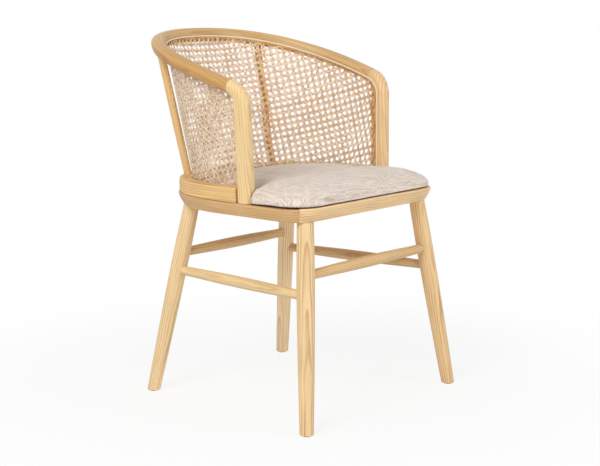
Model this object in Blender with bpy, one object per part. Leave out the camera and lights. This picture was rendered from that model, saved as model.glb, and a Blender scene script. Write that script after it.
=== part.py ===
"""Tub armchair: turned ash base, bent ash frame, woven cane back, padded seat.

Metres, +Z up. The chair faces -Y, and the sitter's left hand is at +X.
Plan sizes are measured from the middle of the four feet. At the end the whole
chair is moved so that the origin lies on the floor under the middle of its outline.
"""
import bmesh
import bpy
import math
import numpy as np
from mathutils import Matrix, Vector

# Fits that every joint shares
FIT_GAP = 0.0003
CUT_OVERRUN = 0.002
BEARING_GAP = 0.0003

# Seat ring: one rail bent round the back and sides, and a front rail glued across its ends
RING_UNDERSIDE = 0.4105
RING_THICKNESS = 0.028
RING_HALF_WIDTH = 0.2370
RING_FRONT = 0.208
RING_BACK = 0.2345
RING_SHOULDER = 0.010
RING_SQUARENESS = 2.45
RING_CORNER_RADIUS = 0.060
RING_RAIL_WIDTH = 0.060
RING_INNER_RADIUS = 0.034
RING_UNDERCUT = 0.013
RING_EDGE_ROUND = 0.002
RING_UNDERCUT_POWER = 1.6
RING_EDGE_SHARES = (0.08, 0.30, 0.52, 0.76, 1.0)
RING_TOP = RING_UNDERSIDE + RING_THICKNESS

# Loose tongues across the two ring joints
TONGUE_WIDTH = 0.030
TONGUE_LENGTH = 0.024
TONGUE_THICKNESS = 0.005
TONGUE_BELOW_TOP = 0.007

# Bent frame of the tub: sill, crest rail and arm posts share one thickness.
# Its widths, its depth and its height follow the seat ring that it stands on.
FRAME_THICKNESS = 0.029
TOP_OUTER_ROUND = 0.010
TOP_INNER_ROUND = 0.012
BOTTOM_INNER_ROUND = 0.005
BOTTOM_OUTER_ROUND = 0.014
SILL_HEIGHT = 0.0295
SILL_INSET = 0.0015
SILL_ROUND = 0.004
CREST_ABOVE_RING = 0.318
CREST_BEHIND_RING = 0.0642
CREST_BESIDE_RING = 0.001
CREST_HEIGHT = RING_TOP + CREST_ABOVE_RING
CREST_BACK = RING_BACK + CREST_BEHIND_RING
CREST_HALF_WIDTH = RING_HALF_WIDTH + CREST_BESIDE_RING
CREST_SHOULDER = 0.0424
CREST_SQUARENESS = 2.352
CREST_BACK_DEPTH = 0.0310
CREST_ARM_DEPTH = 0.0265
ARM_TOE_IN = 0.0123
ARM_FALL = 0.0958
ARM_FALL_STEADY_SHARE = 0.846
POST_INSET = 0.0157
POST_HALF_WIDTH = RING_HALF_WIDTH - POST_INSET
POST_FORWARD = 0.0543
POST_DEPTH = 0.0355
ARM_CORNER_FORWARD = 0.0491
ARM_CORNER_RADIUS = 0.040

# Uprights at the back, outside the cane
UPRIGHT_SHARE = 0.335
UPRIGHT_RADIUS = 0.008
UPRIGHT_SWELL_SHARE = 1.06
UPRIGHT_FOOT_OUTWARD = -0.0005
UPRIGHT_HEAD_OUTWARD = 0.0015
UPRIGHT_SOCKET_DEPTH = 0.010

# Cane webbing, held by a reed pressed into a groove
CANE_THICKNESS = 0.0016
GROOVE_WIDTH = 0.0046
GROOVE_DEPTH = 0.0045
CREST_GROOVE_DROP = 0.0055
POST_GROOVE_DROP = -0.0020
SILL_GROOVE_BELOW_TOP = 0.014
REED_RADIUS = 0.0020
REED_PROUD = 0.0004
CANE_END_SHARE = 0.985
CANE_LIP_SHARE = 0.9

# Openings of the webbing: a plain grid, far coarser than the real weave
CANE_OPENINGS_ACROSS = 11
CANE_OPENING_ROWS = 4
CANE_OPENING_STEPS = 4
CANE_OPENING_HEIGHT_SHARE = 0.45

# Legs, turned and leaning: each head is set in from the ring's edges, and each foot leans out
LEG_FRONT_SIDE_INSET = 0.0502
LEG_FRONT_END_INSET = 0.0305
LEG_FRONT_SIDE_LEAN = 0.0569
LEG_FRONT_END_LEAN = 0.0513
LEG_REAR_SIDE_INSET = 0.0810
LEG_REAR_END_INSET = 0.0730
LEG_REAR_SIDE_LEAN = 0.0575
LEG_REAR_END_LEAN = 0.0673
LEG_MAX_RADIUS = 0.0183
LEG_WIDEST_SHARE = 0.70
LEG_FOOT_SHARE = 0.775
LEG_HEAD_SHARE = 0.92
LEG_TAPER_POWER = 1.35
LEG_FOOT_ROUND = 0.0012
LEG_TENON_RADIUS = 0.011
LEG_TENON_LENGTH = 0.012

# Stretchers, turned with a slight swell in the middle
SIDE_STRETCHER_HEIGHT = 0.2666
FRONT_STRETCHER_HEIGHT = 0.3055
REAR_STRETCHER_HEIGHT = 0.3035
STRETCHER_END_RADIUS = 0.0095
STRETCHER_MIDDLE_RADIUS = 0.0120
STRETCHER_SWELL_POWER = 1.4
STRETCHER_SOCKET_DEPTH = 0.015

# Nylon glides nailed under the feet
GLIDE_RADIUS = 0.0095
GLIDE_THICKNESS = 0.0016
GLIDE_PIN_RADIUS = 0.0015
GLIDE_PIN_LENGTH = 0.012
FOOT_HEIGHT = GLIDE_THICKNESS + BEARING_GAP

# Corner blocks, seat board and its screws
BLOCK_HEIGHT = 0.022
BLOCK_SHARE_SPAN = 0.085
REAR_BLOCK_SHARE = 0.5
BOARD_THICKNESS = 0.009
BOARD_INSET = 0.022
SCREW_RADIUS = 0.0020
SCREW_HEAD_RADIUS = 0.0040
SCREW_HEAD_HEIGHT = 0.0022
SCREW_CROWN_SHARE = 0.7
SCREW_TIP_SHARE = 0.3
SCREW_BITE = 0.006

# Seat cushion: foam and cover over the board
CUSHION_INSET = 0.001
CUSHION_CROWN = 0.0400
CUSHION_WIDEST = 0.0100
CUSHION_TUB_CLEARANCE = 0.0025
CUSHION_POST_CLEARANCE = 0.0015
CUSHION_LOBE_RADIUS = 0.018
CUSHION_NOTCH_RADIUS = 0.008
CUSHION_TUCK = 0.012
CUSHION_SIDE_DRAW_SHARE = 0.012
CUSHION_REAR_FALL_SHARE = 0.38
CUSHION_FALL_START = -0.02
CUSHION_FALL_POWER = 1.3
CUSHION_EDGE_SHARE = 0.28
CUSHION_ROUND_POWER = 8.5
CUSHION_TOP_SHARE = 0.74
CUSHION_SPACING_POWER = 2.2
CUSHION_REAR_SHARE = 0.98

# Dowels hidden in the frame joints
DOWEL_RADIUS = 0.004
DOWEL_LENGTH = 0.024
ARM_DOWEL_SPREAD = 0.0055
SILL_DOWEL_SHARES = (-0.93, -0.42, 0.0, 0.42, 0.93)

# How finely curves are divided
CREST_STATIONS = CANE_OPENINGS_ACROSS * CANE_OPENING_STEPS + 1
SILL_STATIONS = 41
RING_STATIONS = 43
RING_ARC_STATIONS = 5
BLOCK_STATIONS = 7
CORNER_STATIONS = 7
CORNER_TRIALS = 30
DENSE_STEPS = 240
TANGENT_SHARE = 0.00625
LEG_STEPS = 9
LEG_SIDES = 24
STRETCHER_STEPS = 8
STRETCHER_SIDES = 16
UPRIGHT_STEPS = 6
SMALL_SIDES = 12
REED_SIDES = 6
ROUND_STEPS = 3
ROUND_MIDDLE_SHARE = 1 - math.sqrt(0.5)
CUSHION_STEPS = 8
STEEP_SHARE = 0.9
SMOOTH_ANGLE = 35.0
CUSHION_SMOOTH_ANGLE = 60.0


def clear_scene():
    for old in list(bpy.data.objects):
        bpy.data.objects.remove(old, do_unlink=True)


# Materials

def material(name, colour, roughness, metallic=0.0):
    made = bpy.data.materials.new(name)
    made.use_nodes = True
    shader = made.node_tree.nodes["Principled BSDF"]
    shader.inputs["Base Color"].default_value = (*colour, 1.0)
    shader.inputs["Roughness"].default_value = roughness
    shader.inputs["Metallic"].default_value = metallic
    made.diffuse_color = (*colour, 1.0)
    return made


def ash(name):
    return material(name, (0.80, 0.58, 0.32), 0.45)


def cane(name):
    return material(name, (0.78, 0.58, 0.42), 0.6)


def linen(name):
    return material(name, (0.66, 0.58, 0.50), 0.9)


def plywood(name):
    return material(name, (0.72, 0.55, 0.36), 0.6)


def steel(name):
    return material(name, (0.62, 0.61, 0.58), 0.35, 1.0)


def nylon(name):
    return material(name, (0.35, 0.33, 0.30), 0.5)


# Mesh helpers

def add_object(name, mesh_data, surface, smooth_angle=SMOOTH_ANGLE):
    mesh = bpy.data.meshes.new(name)
    bmesh.ops.recalc_face_normals(mesh_data, faces=mesh_data.faces)
    if mesh_data.calc_volume(signed=True) < 0:
        bmesh.ops.reverse_faces(mesh_data, faces=mesh_data.faces)
    mesh_data.to_mesh(mesh)
    mesh_data.free()
    mesh.shade_smooth()
    mesh.set_sharp_from_angle(angle=math.radians(smooth_angle))
    made = bpy.data.objects.new(name, mesh)
    made.data.materials.append(surface)
    bpy.context.scene.collection.objects.link(made)
    return made


def bridge(mesh_data, loops):
    """Join loops of vertices with quads, and cap both ends."""
    rows = [[mesh_data.verts.new(point) for point in loop] for loop in loops]
    for lower, upper in zip(rows, rows[1:]):
        for index in range(len(lower)):
            following = (index + 1) % len(lower)
            corners = (lower[index], lower[following], upper[following], upper[index])
            mesh_data.faces.new(corners)
    mesh_data.faces.new(rows[0])
    mesh_data.faces.new(rows[-1])


def loft(name, loops, surface):
    mesh_data = bmesh.new()
    bridge(mesh_data, loops)
    return add_object(name, mesh_data, surface)


def spread(first, last, count):
    return [first + (last - first) * step / (count - 1) for step in range(count)]


def side_axes(direction):
    along = Vector(direction).normalized()
    reference = Vector((0, 0, 1)) if abs(along.z) < STEEP_SHARE else Vector((1, 0, 0))
    across = along.cross(reference).normalized()
    return across, across.cross(along)


def circle(centre, direction, radius, sides):
    across, other = side_axes(direction)
    turns = (math.tau * step / sides for step in range(sides))
    return [centre + (across * math.cos(turn) + other * math.sin(turn)) * radius for turn in turns]


def level_circle(centre, radius, sides):
    turns = (math.tau * (step + 0.5) / sides for step in range(sides))
    return [centre + Vector((math.cos(turn), math.sin(turn), 0)) * radius for turn in turns]


def rod(start, end, radius, sides=SMALL_SIDES):
    direction = end - start
    return [circle(start, direction, radius, sides), circle(end, direction, radius, sides)]


def cut(target, name, solids):
    """Take one or more shapes away from a piece, as one hidden cutter."""
    mesh_data = bmesh.new()
    for loops in solids:
        bridge(mesh_data, loops)
    cutter = add_object(name, mesh_data, target.data.materials[0])
    cutter.hide_render = True
    cutter.display_type = "WIRE"
    boolean = target.modifiers.new(name, "BOOLEAN")
    boolean.operation = "DIFFERENCE"
    boolean.solver = "EXACT"
    boolean.object = cutter


def meet_plane(points, direction, plane_point, plane_normal):
    """Slide points along a direction until they lie on a plane."""
    reach = direction.dot(plane_normal)
    return [p + direction * ((plane_point - p).dot(plane_normal) / reach) for p in points]


# Plan curves: the back is a superellipse, and the arms run forward from its shoulders

class HalfPlan:
    """One side of a tub curve, from the centre of the back to the front end of an arm."""

    def __init__(self, half_width, back, shoulder, front, squareness, toe_in=0.0):
        points = []
        for step in range(DENSE_STEPS + 1):
            turn = 0.5 * math.pi * step / DENSE_STEPS
            x = half_width * math.sin(turn) ** (2 / squareness)
            y = shoulder + (back - shoulder) * max(math.cos(turn), 0.0) ** (2 / squareness)
            points.append((x, y))
        for step in range(1, DENSE_STEPS + 1):
            share = step / DENSE_STEPS
            x = half_width - toe_in * share ** 2
            points.append((x, shoulder + (front - shoulder) * share))
        self.points = np.array(points)
        steps = np.linalg.norm(np.diff(self.points, axis=0), axis=1)
        self.lengths = np.concatenate(([0.0], np.cumsum(steps)))
        self.length = float(self.lengths[-1])

    def at_length(self, length):
        x = float(np.interp(length, self.lengths, self.points[:, 0]))
        y = float(np.interp(length, self.lengths, self.points[:, 1]))
        return x, y

    def at(self, share):
        """A point by its share of the length; a negative share is on the other side."""
        x, y = self.at_length(abs(share) * self.length)
        return Vector((math.copysign(x, share) if share else x, y, 0))

    def tangent(self, share):
        """Unit direction of growing share, so it runs from the right arm to the left one."""
        ahead = self.at(min(share + TANGENT_SHARE, 1.0))
        behind = self.at(max(share - TANGENT_SHARE, -1.0))
        return (ahead - behind).normalized()

    def outward(self, share):
        """Level unit direction away from the sitter; at the centre of the back it is +Y."""
        tangent = self.tangent(share)
        return Vector((-tangent.y, tangent.x, 0))

    def share_at_y(self, y):
        """Share of the length at which the arm passes a given y."""
        arm = self.points[DENSE_STEPS:]
        along = self.lengths[DENSE_STEPS:]
        return float(np.interp(-y, -arm[:, 1], along)) / self.length


SILL_MIDDLE_INSET = SILL_INSET + FRAME_THICKNESS / 2
SILL_LOW = RING_TOP + BEARING_GAP
SILL_HIGH = SILL_LOW + SILL_HEIGHT
POST_FOOT = Vector((POST_HALF_WIDTH, -POST_FORWARD, SILL_LOW))

CREST_PLAN = HalfPlan(
    CREST_HALF_WIDTH, CREST_BACK, CREST_SHOULDER, -ARM_CORNER_FORWARD, CREST_SQUARENESS, ARM_TOE_IN
)
SILL_PLAN = HalfPlan(
    RING_HALF_WIDTH - SILL_MIDDLE_INSET, RING_BACK - SILL_MIDDLE_INSET, RING_SHOULDER,
    -POST_FORWARD + POST_DEPTH / 2 + BEARING_GAP, RING_SQUARENESS
)


def mirrored(point, side):
    return Vector((point.x * side, point.y, point.z))


def crest_height_at(y):
    share = (CREST_BACK - y) / (CREST_BACK + ARM_CORNER_FORWARD)
    fall = ARM_FALL_STEADY_SHARE * share + (1 - ARM_FALL_STEADY_SHARE) * share ** 2
    return CREST_HEIGHT - ARM_FALL * fall


def crest_point(share):
    point = CREST_PLAN.at(share)
    point.z = crest_height_at(point.y)
    return point


def crest_tangent(share):
    ahead = crest_point(min(share + TANGENT_SHARE, 1.0))
    behind = crest_point(max(share - TANGENT_SHARE, -1.0))
    return (ahead - behind).normalized()


# The arm corner: an arc from the crest rail's end down into the post

def find_crest_end():
    """Share of the crest curve where the rail stops and the arm corner begins."""
    corner = crest_point(1.0)
    leaving = crest_tangent(1.0)
    down = (POST_FOOT - corner).normalized()
    turn = leaving.angle(down)
    setback = ARM_CORNER_RADIUS * math.tan(turn / 2)
    return 1 - setback / CREST_PLAN.length


CREST_END = find_crest_end()
CORNER_START = crest_point(CREST_END)
CORNER_LEAVING = crest_tangent(CREST_END)


def find_corner():
    """Where the rail's line and the post's line meet, and the direction down the post."""
    setback = ARM_CORNER_RADIUS
    for _ in range(CORNER_TRIALS):
        corner = CORNER_START + CORNER_LEAVING * setback
        down = (POST_FOOT - corner).normalized()
        setback = ARM_CORNER_RADIUS * math.tan(CORNER_LEAVING.angle(down) / 2)
    return corner, down


CORNER_POINT, POST_DOWN = find_corner()


RULING_SHARE = SILL_PLAN.share_at_y(CORNER_START.y - CORNER_POINT.y + POST_FOOT.y)


def sill_share_below(share):
    """Share of the sill's curve that lies below a share of the crest rail's curve."""
    return share / CREST_END * RULING_SHARE


def ruling_base(share):
    """Point of the sill's middle line that lies below a point of the crest rail."""
    base = SILL_PLAN.at(sill_share_below(share))
    base.z = (SILL_LOW + SILL_HIGH) / 2
    return base


class Station:
    """A place along a frame member, with the outward and outer edge directions of its section."""

    def __init__(self, centre, along, edgeward_hint):
        self.centre = centre
        self.along = along.normalized()
        self.edgeward = (edgeward_hint - self.along * edgeward_hint.dot(self.along)).normalized()
        self.outward = self.edgeward.cross(self.along)

    def place(self, section):
        return [self.centre + self.outward * across + self.edgeward * up for across, up in section]


def crest_station(share):
    centre = crest_point(share)
    return Station(centre, crest_tangent(share), centre - ruling_base(share))


def corner_station(share):
    """Station along the left arm corner: 0 at the rail's end and 1 at the post's top."""
    axis = CORNER_LEAVING.cross(POST_DOWN).normalized()
    inward = axis.cross(CORNER_LEAVING)
    arc_centre = CORNER_START + inward * ARM_CORNER_RADIUS
    turned = Matrix.Rotation(CORNER_LEAVING.angle(POST_DOWN) * share, 3, axis)
    edgeward = turned @ -inward
    return Station(arc_centre + edgeward * ARM_CORNER_RADIUS, turned @ CORNER_LEAVING, edgeward)


def frame_section(depth, groove_drop):
    """Rectangle with four roundings and a groove in its inner face, as (outward, edgeward)."""
    half_t = FRAME_THICKNESS / 2
    half_d = depth / 2
    groove_at = -groove_drop
    points = []
    corners = (
        (1, 1, 0.0, TOP_OUTER_ROUND),
        (-1, 1, 90.0, TOP_INNER_ROUND),
        (-1, -1, 180.0, BOTTOM_INNER_ROUND),
        (1, -1, 270.0, BOTTOM_OUTER_ROUND),
    )
    for sign_t, sign_d, first, radius in corners:
        for step in range(ROUND_STEPS + 1):
            turn = math.radians(first + 90.0 * step / ROUND_STEPS)
            x = sign_t * (half_t - radius) + radius * math.cos(turn)
            y = sign_d * (half_d - radius) + radius * math.sin(turn)
            points.append((x, y))
        if first == 90.0:
            inner = -half_t
            floor = -half_t + GROOVE_DEPTH
            upper = groove_at + GROOVE_WIDTH / 2
            lower = groove_at - GROOVE_WIDTH / 2
            points += [(inner, upper), (floor, upper), (floor, lower), (inner, lower)]
    return points


def crest_depth(share):
    """The crest rail is deepest at the back and slimmer at the arms."""
    along = min(abs(share) / CREST_END, 1.0)
    return CREST_BACK_DEPTH + (CREST_ARM_DEPTH - CREST_BACK_DEPTH) * along ** 2


def crest_section(share):
    return frame_section(crest_depth(share), CREST_GROOVE_DROP)


def corner_groove_drop(share):
    return CREST_GROOVE_DROP + (POST_GROOVE_DROP - CREST_GROOVE_DROP) * share


def corner_section(share):
    depth = CREST_ARM_DEPTH + (POST_DEPTH - CREST_ARM_DEPTH) * share
    return frame_section(depth, corner_groove_drop(share))


def post_station(centre):
    """Station on the left arm post's straight part."""
    return Station(centre, POST_DOWN, corner_station(1.0).edgeward)


# Seat ring

RING_PLAN = HalfPlan(
    RING_HALF_WIDTH, RING_BACK, RING_SHOULDER, RING_CORNER_RADIUS - RING_FRONT, RING_SQUARENESS
)
RING_HALF_LENGTH = (
    RING_PLAN.length + RING_CORNER_RADIUS * math.pi / 2 + RING_HALF_WIDTH - RING_CORNER_RADIUS
)
FRONT_CORNER_SHARE = (RING_PLAN.length + RING_CORNER_RADIUS * math.pi / 4) / RING_HALF_LENGTH
ARC_START_SHARE = RING_PLAN.length / RING_HALF_LENGTH
ARC_END_SHARE = (RING_PLAN.length + RING_CORNER_RADIUS * math.pi / 2) / RING_HALF_LENGTH


def ring_edges(share):
    """Outer point, outward normal and inner point of the ring at a share of its half length.

    Share 0 is the centre of the back and 1 the centre of the front, on the +X side.
    """
    inner_half = RING_HALF_WIDTH - RING_RAIL_WIDTH
    inner_front = RING_FRONT - RING_RAIL_WIDTH
    corner_centre = Vector((RING_HALF_WIDTH - RING_CORNER_RADIUS, RING_CORNER_RADIUS - RING_FRONT, 0))
    inner_centre = Vector((inner_half - RING_INNER_RADIUS, RING_INNER_RADIUS - inner_front, 0))
    arc = RING_CORNER_RADIUS * math.pi / 2
    length = abs(share) * RING_HALF_LENGTH
    if length <= RING_PLAN.length:
        plan_share = length / RING_PLAN.length
        outer = RING_PLAN.at(plan_share)
        normal = RING_PLAN.outward(plan_share)
        inner = outer - normal * RING_RAIL_WIDTH
        reach = (RING_SHOULDER - outer.y) / (RING_SHOULDER - corner_centre.y)
        if reach > 0:
            normal = Vector((1, 0, 0))
            inner = Vector((inner_half, RING_SHOULDER + (inner_centre.y - RING_SHOULDER) * reach, 0))
    elif length <= RING_PLAN.length + arc:
        turn = -(length - RING_PLAN.length) / RING_CORNER_RADIUS
        normal = Vector((math.cos(turn), math.sin(turn), 0))
        outer = corner_centre + normal * RING_CORNER_RADIUS
        inner = inner_centre + normal * RING_INNER_RADIUS
    else:
        reach = (length - RING_PLAN.length - arc) / corner_centre.x
        normal = Vector((0, -1, 0))
        outer = Vector((corner_centre.x * (1 - reach), -RING_FRONT, 0))
        inner = Vector((inner_centre.x * (1 - reach), -inner_front, 0))
    side = -1 if share < 0 else 1
    return mirrored(outer, side), mirrored(normal, side), mirrored(inner, side)


def ring_section(share):
    outer, normal, inner = ring_edges(share)
    high = RING_TOP
    low = RING_UNDERSIDE
    loop = [Vector((inner.x, inner.y, low)), Vector((inner.x, inner.y, high))]
    edge = outer - normal * RING_EDGE_ROUND
    loop.append(Vector((edge.x, edge.y, high)))
    for drop in RING_EDGE_SHARES:
        inset = RING_UNDERCUT * drop ** RING_UNDERCUT_POWER
        point = outer - normal * inset
        loop.append(Vector((point.x, point.y, high - (high - low) * drop)))
    return loop


def ring_rail(name, shares):
    """One rail of the ring; both ends are drawn back by half a fitting gap."""
    loops = [ring_section(share) for share in shares]
    for end, inward in ((0, 1), (-1, -2)):
        pull = (loops[inward][0] - loops[end][0]).normalized() * FIT_GAP / 2
        loops[end] = [point + pull for point in loops[end]]
    return loft(name, loops, ash(name))


def make_seat_ring():
    side = spread(ARC_START_SHARE, FRONT_CORNER_SHARE, RING_ARC_STATIONS)
    back = spread(-ARC_START_SHARE, ARC_START_SHARE, RING_STATIONS)
    front = spread(FRONT_CORNER_SHARE, ARC_END_SHARE, RING_ARC_STATIONS)
    bent_shares = [-share for share in side[::-1]] + back[1:-1] + side
    front_shares = front + [-share for share in front[::-1]]
    return ring_rail("seat_rail_bent", bent_shares), ring_rail("seat_rail_front", front_shares)


def tongue_loops(share, grow):
    """A flat tongue across a ring joint, halfway between the ring's edges."""
    outer, normal, inner = ring_edges(share)
    across = (outer - inner).normalized()
    along = Vector((-across.y, across.x, 0))
    middle = (outer + inner) / 2
    middle.z = RING_TOP - TONGUE_BELOW_TOP
    half_w = TONGUE_WIDTH / 2 + grow
    half_l = TONGUE_LENGTH / 2 + grow
    half_t = TONGUE_THICKNESS / 2 + grow
    ends = []
    for end in (-half_l, half_l):
        corners = ((-half_w, -half_t), (half_w, -half_t), (half_w, half_t), (-half_w, half_t))
        ends.append([middle + along * end + across * w + Vector((0, 0, t)) for w, t in corners])
    return ends


def make_ring_tongues(bent_rail, front_rail):
    for share, place in ((FRONT_CORNER_SHARE, "left"), (-FRONT_CORNER_SHARE, "right")):
        name = "ring_tongue_" + place
        loft(name, tongue_loops(share, 0.0), ash(name))
        socket = tongue_loops(share, FIT_GAP)
        cut(bent_rail, place + "_bent_tongue_cut", [socket])
        cut(front_rail, place + "_front_tongue_cut", [socket])


# Legs and stretchers

LEG_FRONT_HEAD = (RING_HALF_WIDTH - LEG_FRONT_SIDE_INSET, LEG_FRONT_END_INSET - RING_FRONT)
LEG_FRONT_FOOT = (LEG_FRONT_HEAD[0] + LEG_FRONT_SIDE_LEAN, LEG_FRONT_HEAD[1] - LEG_FRONT_END_LEAN)
LEG_REAR_HEAD = (RING_HALF_WIDTH - LEG_REAR_SIDE_INSET, RING_BACK - LEG_REAR_END_INSET)
LEG_REAR_FOOT = (LEG_REAR_HEAD[0] + LEG_REAR_SIDE_LEAN, LEG_REAR_HEAD[1] + LEG_REAR_END_LEAN)
LEGS = {
    "front_left": (LEG_FRONT_FOOT, LEG_FRONT_HEAD, 1),
    "front_right": (LEG_FRONT_FOOT, LEG_FRONT_HEAD, -1),
    "rear_left": (LEG_REAR_FOOT, LEG_REAR_HEAD, 1),
    "rear_right": (LEG_REAR_FOOT, LEG_REAR_HEAD, -1),
}


def leg_axis(place, z):
    foot, head, side = LEGS[place]
    low = Vector((foot[0] * side, foot[1], 0))
    high = Vector((head[0] * side, head[1], RING_UNDERSIDE))
    return low + (high - low) * (z / RING_UNDERSIDE)


def leg_tenon(place, grow):
    low = RING_UNDERSIDE - CUT_OVERRUN if grow else RING_UNDERSIDE - BEARING_GAP
    high = RING_UNDERSIDE + LEG_TENON_LENGTH + grow
    radius = LEG_TENON_RADIUS + grow
    return [level_circle(leg_axis(place, z), radius, LEG_SIDES) for z in (low, high)]


def leg_radius(height_share):
    """Widest above the middle, slimmer towards the foot and a little under the ring."""
    if height_share < LEG_WIDEST_SHARE:
        run = 1 - height_share / LEG_WIDEST_SHARE
        return LEG_MAX_RADIUS * (1 - (1 - LEG_FOOT_SHARE) * run ** LEG_TAPER_POWER)
    run = (height_share - LEG_WIDEST_SHARE) / (1 - LEG_WIDEST_SHARE)
    return LEG_MAX_RADIUS * (1 - (1 - LEG_HEAD_SHARE) * run ** LEG_TAPER_POWER)


def make_leg(place):
    """A leaning turned leg: level slices keep the foot and the shoulder flat."""
    low = FOOT_HEIGHT + LEG_FOOT_ROUND
    high = RING_UNDERSIDE - BEARING_GAP
    foot = leg_axis(place, FOOT_HEIGHT)
    loops = [level_circle(foot, leg_radius(0.0) - LEG_FOOT_ROUND, LEG_SIDES)]
    for share in spread(0.0, 1.0, LEG_STEPS):
        centre = leg_axis(place, low + (high - low) * share)
        loops.append(level_circle(centre, leg_radius(share), LEG_SIDES))
    loops += leg_tenon(place, 0.0)
    name = "leg_" + place
    return loft(name, loops, ash(name))


def stretcher_ends(first, second, height):
    """Ends of a stretcher, each set into its leg by the depth of its socket."""
    start = leg_axis(first, height)
    end = leg_axis(second, height)
    along = (end - start).normalized()
    back_off = LEG_MAX_RADIUS - STRETCHER_SOCKET_DEPTH
    return start + along * back_off, end - along * back_off


def stretcher_loops(start, end):
    loops = []
    for share in spread(0.0, 1.0, STRETCHER_STEPS + 1):
        swell = max(math.sin(math.pi * share), 0.0) ** STRETCHER_SWELL_POWER
        radius = STRETCHER_END_RADIUS + (STRETCHER_MIDDLE_RADIUS - STRETCHER_END_RADIUS) * swell
        loops.append(circle(start + (end - start) * share, end - start, radius, STRETCHER_SIDES))
    return loops


def socket_loops(end, towards):
    """Blind hole in a leg for the end of a stretcher."""
    along = (towards - end).normalized()
    reach = 2 * LEG_MAX_RADIUS
    start = end - along * FIT_GAP
    first = circle(start, along, STRETCHER_END_RADIUS + FIT_GAP, STRETCHER_SIDES)
    last = circle(start + along * reach, along, STRETCHER_END_RADIUS + FIT_GAP * 2, STRETCHER_SIDES)
    return [first, last]


def make_base():
    legs = {place: make_leg(place) for place in LEGS}
    runs = {
        "front": ("front_right", "front_left", FRONT_STRETCHER_HEIGHT),
        "rear": ("rear_right", "rear_left", REAR_STRETCHER_HEIGHT),
        "left": ("rear_left", "front_left", SIDE_STRETCHER_HEIGHT),
        "right": ("rear_right", "front_right", SIDE_STRETCHER_HEIGHT),
    }
    for run, (first, second, height) in runs.items():
        start, end = stretcher_ends(first, second, height)
        name = "stretcher_" + run
        loft(name, stretcher_loops(start, end), ash(name))
        cut(legs[first], f"{run}_socket_first", [socket_loops(start, end)])
        cut(legs[second], f"{run}_socket_second", [socket_loops(end, start)])
    for place, leg in legs.items():
        make_glide(place, leg)
    return legs


def glide_pin(place, grow):
    low = leg_axis(place, 0)
    low.z = GLIDE_THICKNESS / 2 if grow else GLIDE_THICKNESS
    high = low.copy()
    high.z = GLIDE_THICKNESS + GLIDE_PIN_LENGTH + grow
    radius = GLIDE_PIN_RADIUS + grow
    return [level_circle(low, radius, SMALL_SIDES), level_circle(high, radius, SMALL_SIDES)]


def make_glide(place, leg):
    middle = leg_axis(place, 0)
    top = middle + Vector((0, 0, GLIDE_THICKNESS))
    name = "glide_" + place
    edge = GLIDE_THICKNESS / 3
    loops = [
        level_circle(middle, GLIDE_RADIUS - edge, SMALL_SIDES),
        level_circle(middle + Vector((0, 0, edge)), GLIDE_RADIUS, SMALL_SIDES),
        level_circle(top, GLIDE_RADIUS, SMALL_SIDES),
    ]
    loops += glide_pin(place, 0.0)
    loft(name, loops, nylon(name))
    cut(leg, f"{place}_pin_hole", [glide_pin(place, FIT_GAP)])


# Tub frame

def make_crest_rail():
    shares = spread(-CREST_END, CREST_END, CREST_STATIONS)
    loops = [crest_station(share).place(crest_section(share)) for share in shares]
    for end, inward in ((0, 1), (-1, -2)):
        pull = (loops[inward][0] - loops[end][0]).normalized() * FIT_GAP
        loops[end] = [point + pull for point in loops[end]]
    return loft("crest_rail", loops, ash("crest_rail"))


def make_arm_post(side):
    """Arm post with its rounded corner, cut from one board."""
    shares = spread(0.0, 1.0, CORNER_STATIONS)
    loops = [corner_station(share).place(corner_section(share)) for share in shares]
    flat = post_station(POST_FOOT).place(corner_section(1.0))
    loops.append(meet_plane(flat, POST_DOWN, POST_FOOT, Vector((0, 0, 1))))
    loops = [[mirrored(point, side) for point in loop] for loop in loops]
    name = "arm_post_left" if side > 0 else "arm_post_right"
    return loft(name, loops, ash(name))


def sill_section():
    half = FRAME_THICKNESS / 2
    inner = -half
    floor = inner + GROOVE_DEPTH
    groove_mid = SILL_HIGH - SILL_GROOVE_BELOW_TOP
    groove_high = groove_mid + GROOVE_WIDTH / 2
    groove_low = groove_mid - GROOVE_WIDTH / 2
    ease = SILL_ROUND * ROUND_MIDDLE_SHARE
    return [
        (half, SILL_LOW),
        (half, SILL_HIGH - SILL_ROUND),
        (half - ease, SILL_HIGH - ease),
        (half - SILL_ROUND, SILL_HIGH),
        (inner + SILL_ROUND, SILL_HIGH),
        (inner + ease, SILL_HIGH - ease),
        (inner, SILL_HIGH - SILL_ROUND),
        (inner, groove_high),
        (floor, groove_high),
        (floor, groove_low),
        (inner, groove_low),
        (inner, SILL_LOW),
    ]


def sill_loop(share):
    centre = SILL_PLAN.at(share)
    outward = SILL_PLAN.outward(share)
    return [centre + outward * across + Vector((0, 0, z)) for across, z in sill_section()]


def post_back_plane(side):
    """A point on the back face of an arm post, and that face's backward normal."""
    backward = -post_station(POST_FOOT).edgeward
    point = POST_FOOT + backward * (POST_DEPTH / 2 + BEARING_GAP)
    return mirrored(point, side), mirrored(backward, side)


def make_sill():
    shares = spread(-1.0, 1.0, SILL_STATIONS)
    loops = [sill_loop(share) for share in shares]
    for end, side in ((0, -1), (-1, 1)):
        point, normal = post_back_plane(side)
        direction = SILL_PLAN.tangent(side)
        loops[end] = meet_plane(loops[end], direction, point, normal)
    return loft("back_sill", loops, ash("back_sill"))


def upright_axis(side):
    share = UPRIGHT_SHARE * side
    station = crest_station(share)
    base = ruling_base(share)
    low = base + station.outward * UPRIGHT_FOOT_OUTWARD
    high = station.centre + station.outward * UPRIGHT_HEAD_OUTWARD
    direction = (high - low).normalized()
    low = low + direction * ((SILL_HIGH - low.z) / direction.z)
    high = high - direction * (crest_depth(share) / 2)
    return low, high, direction


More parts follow.
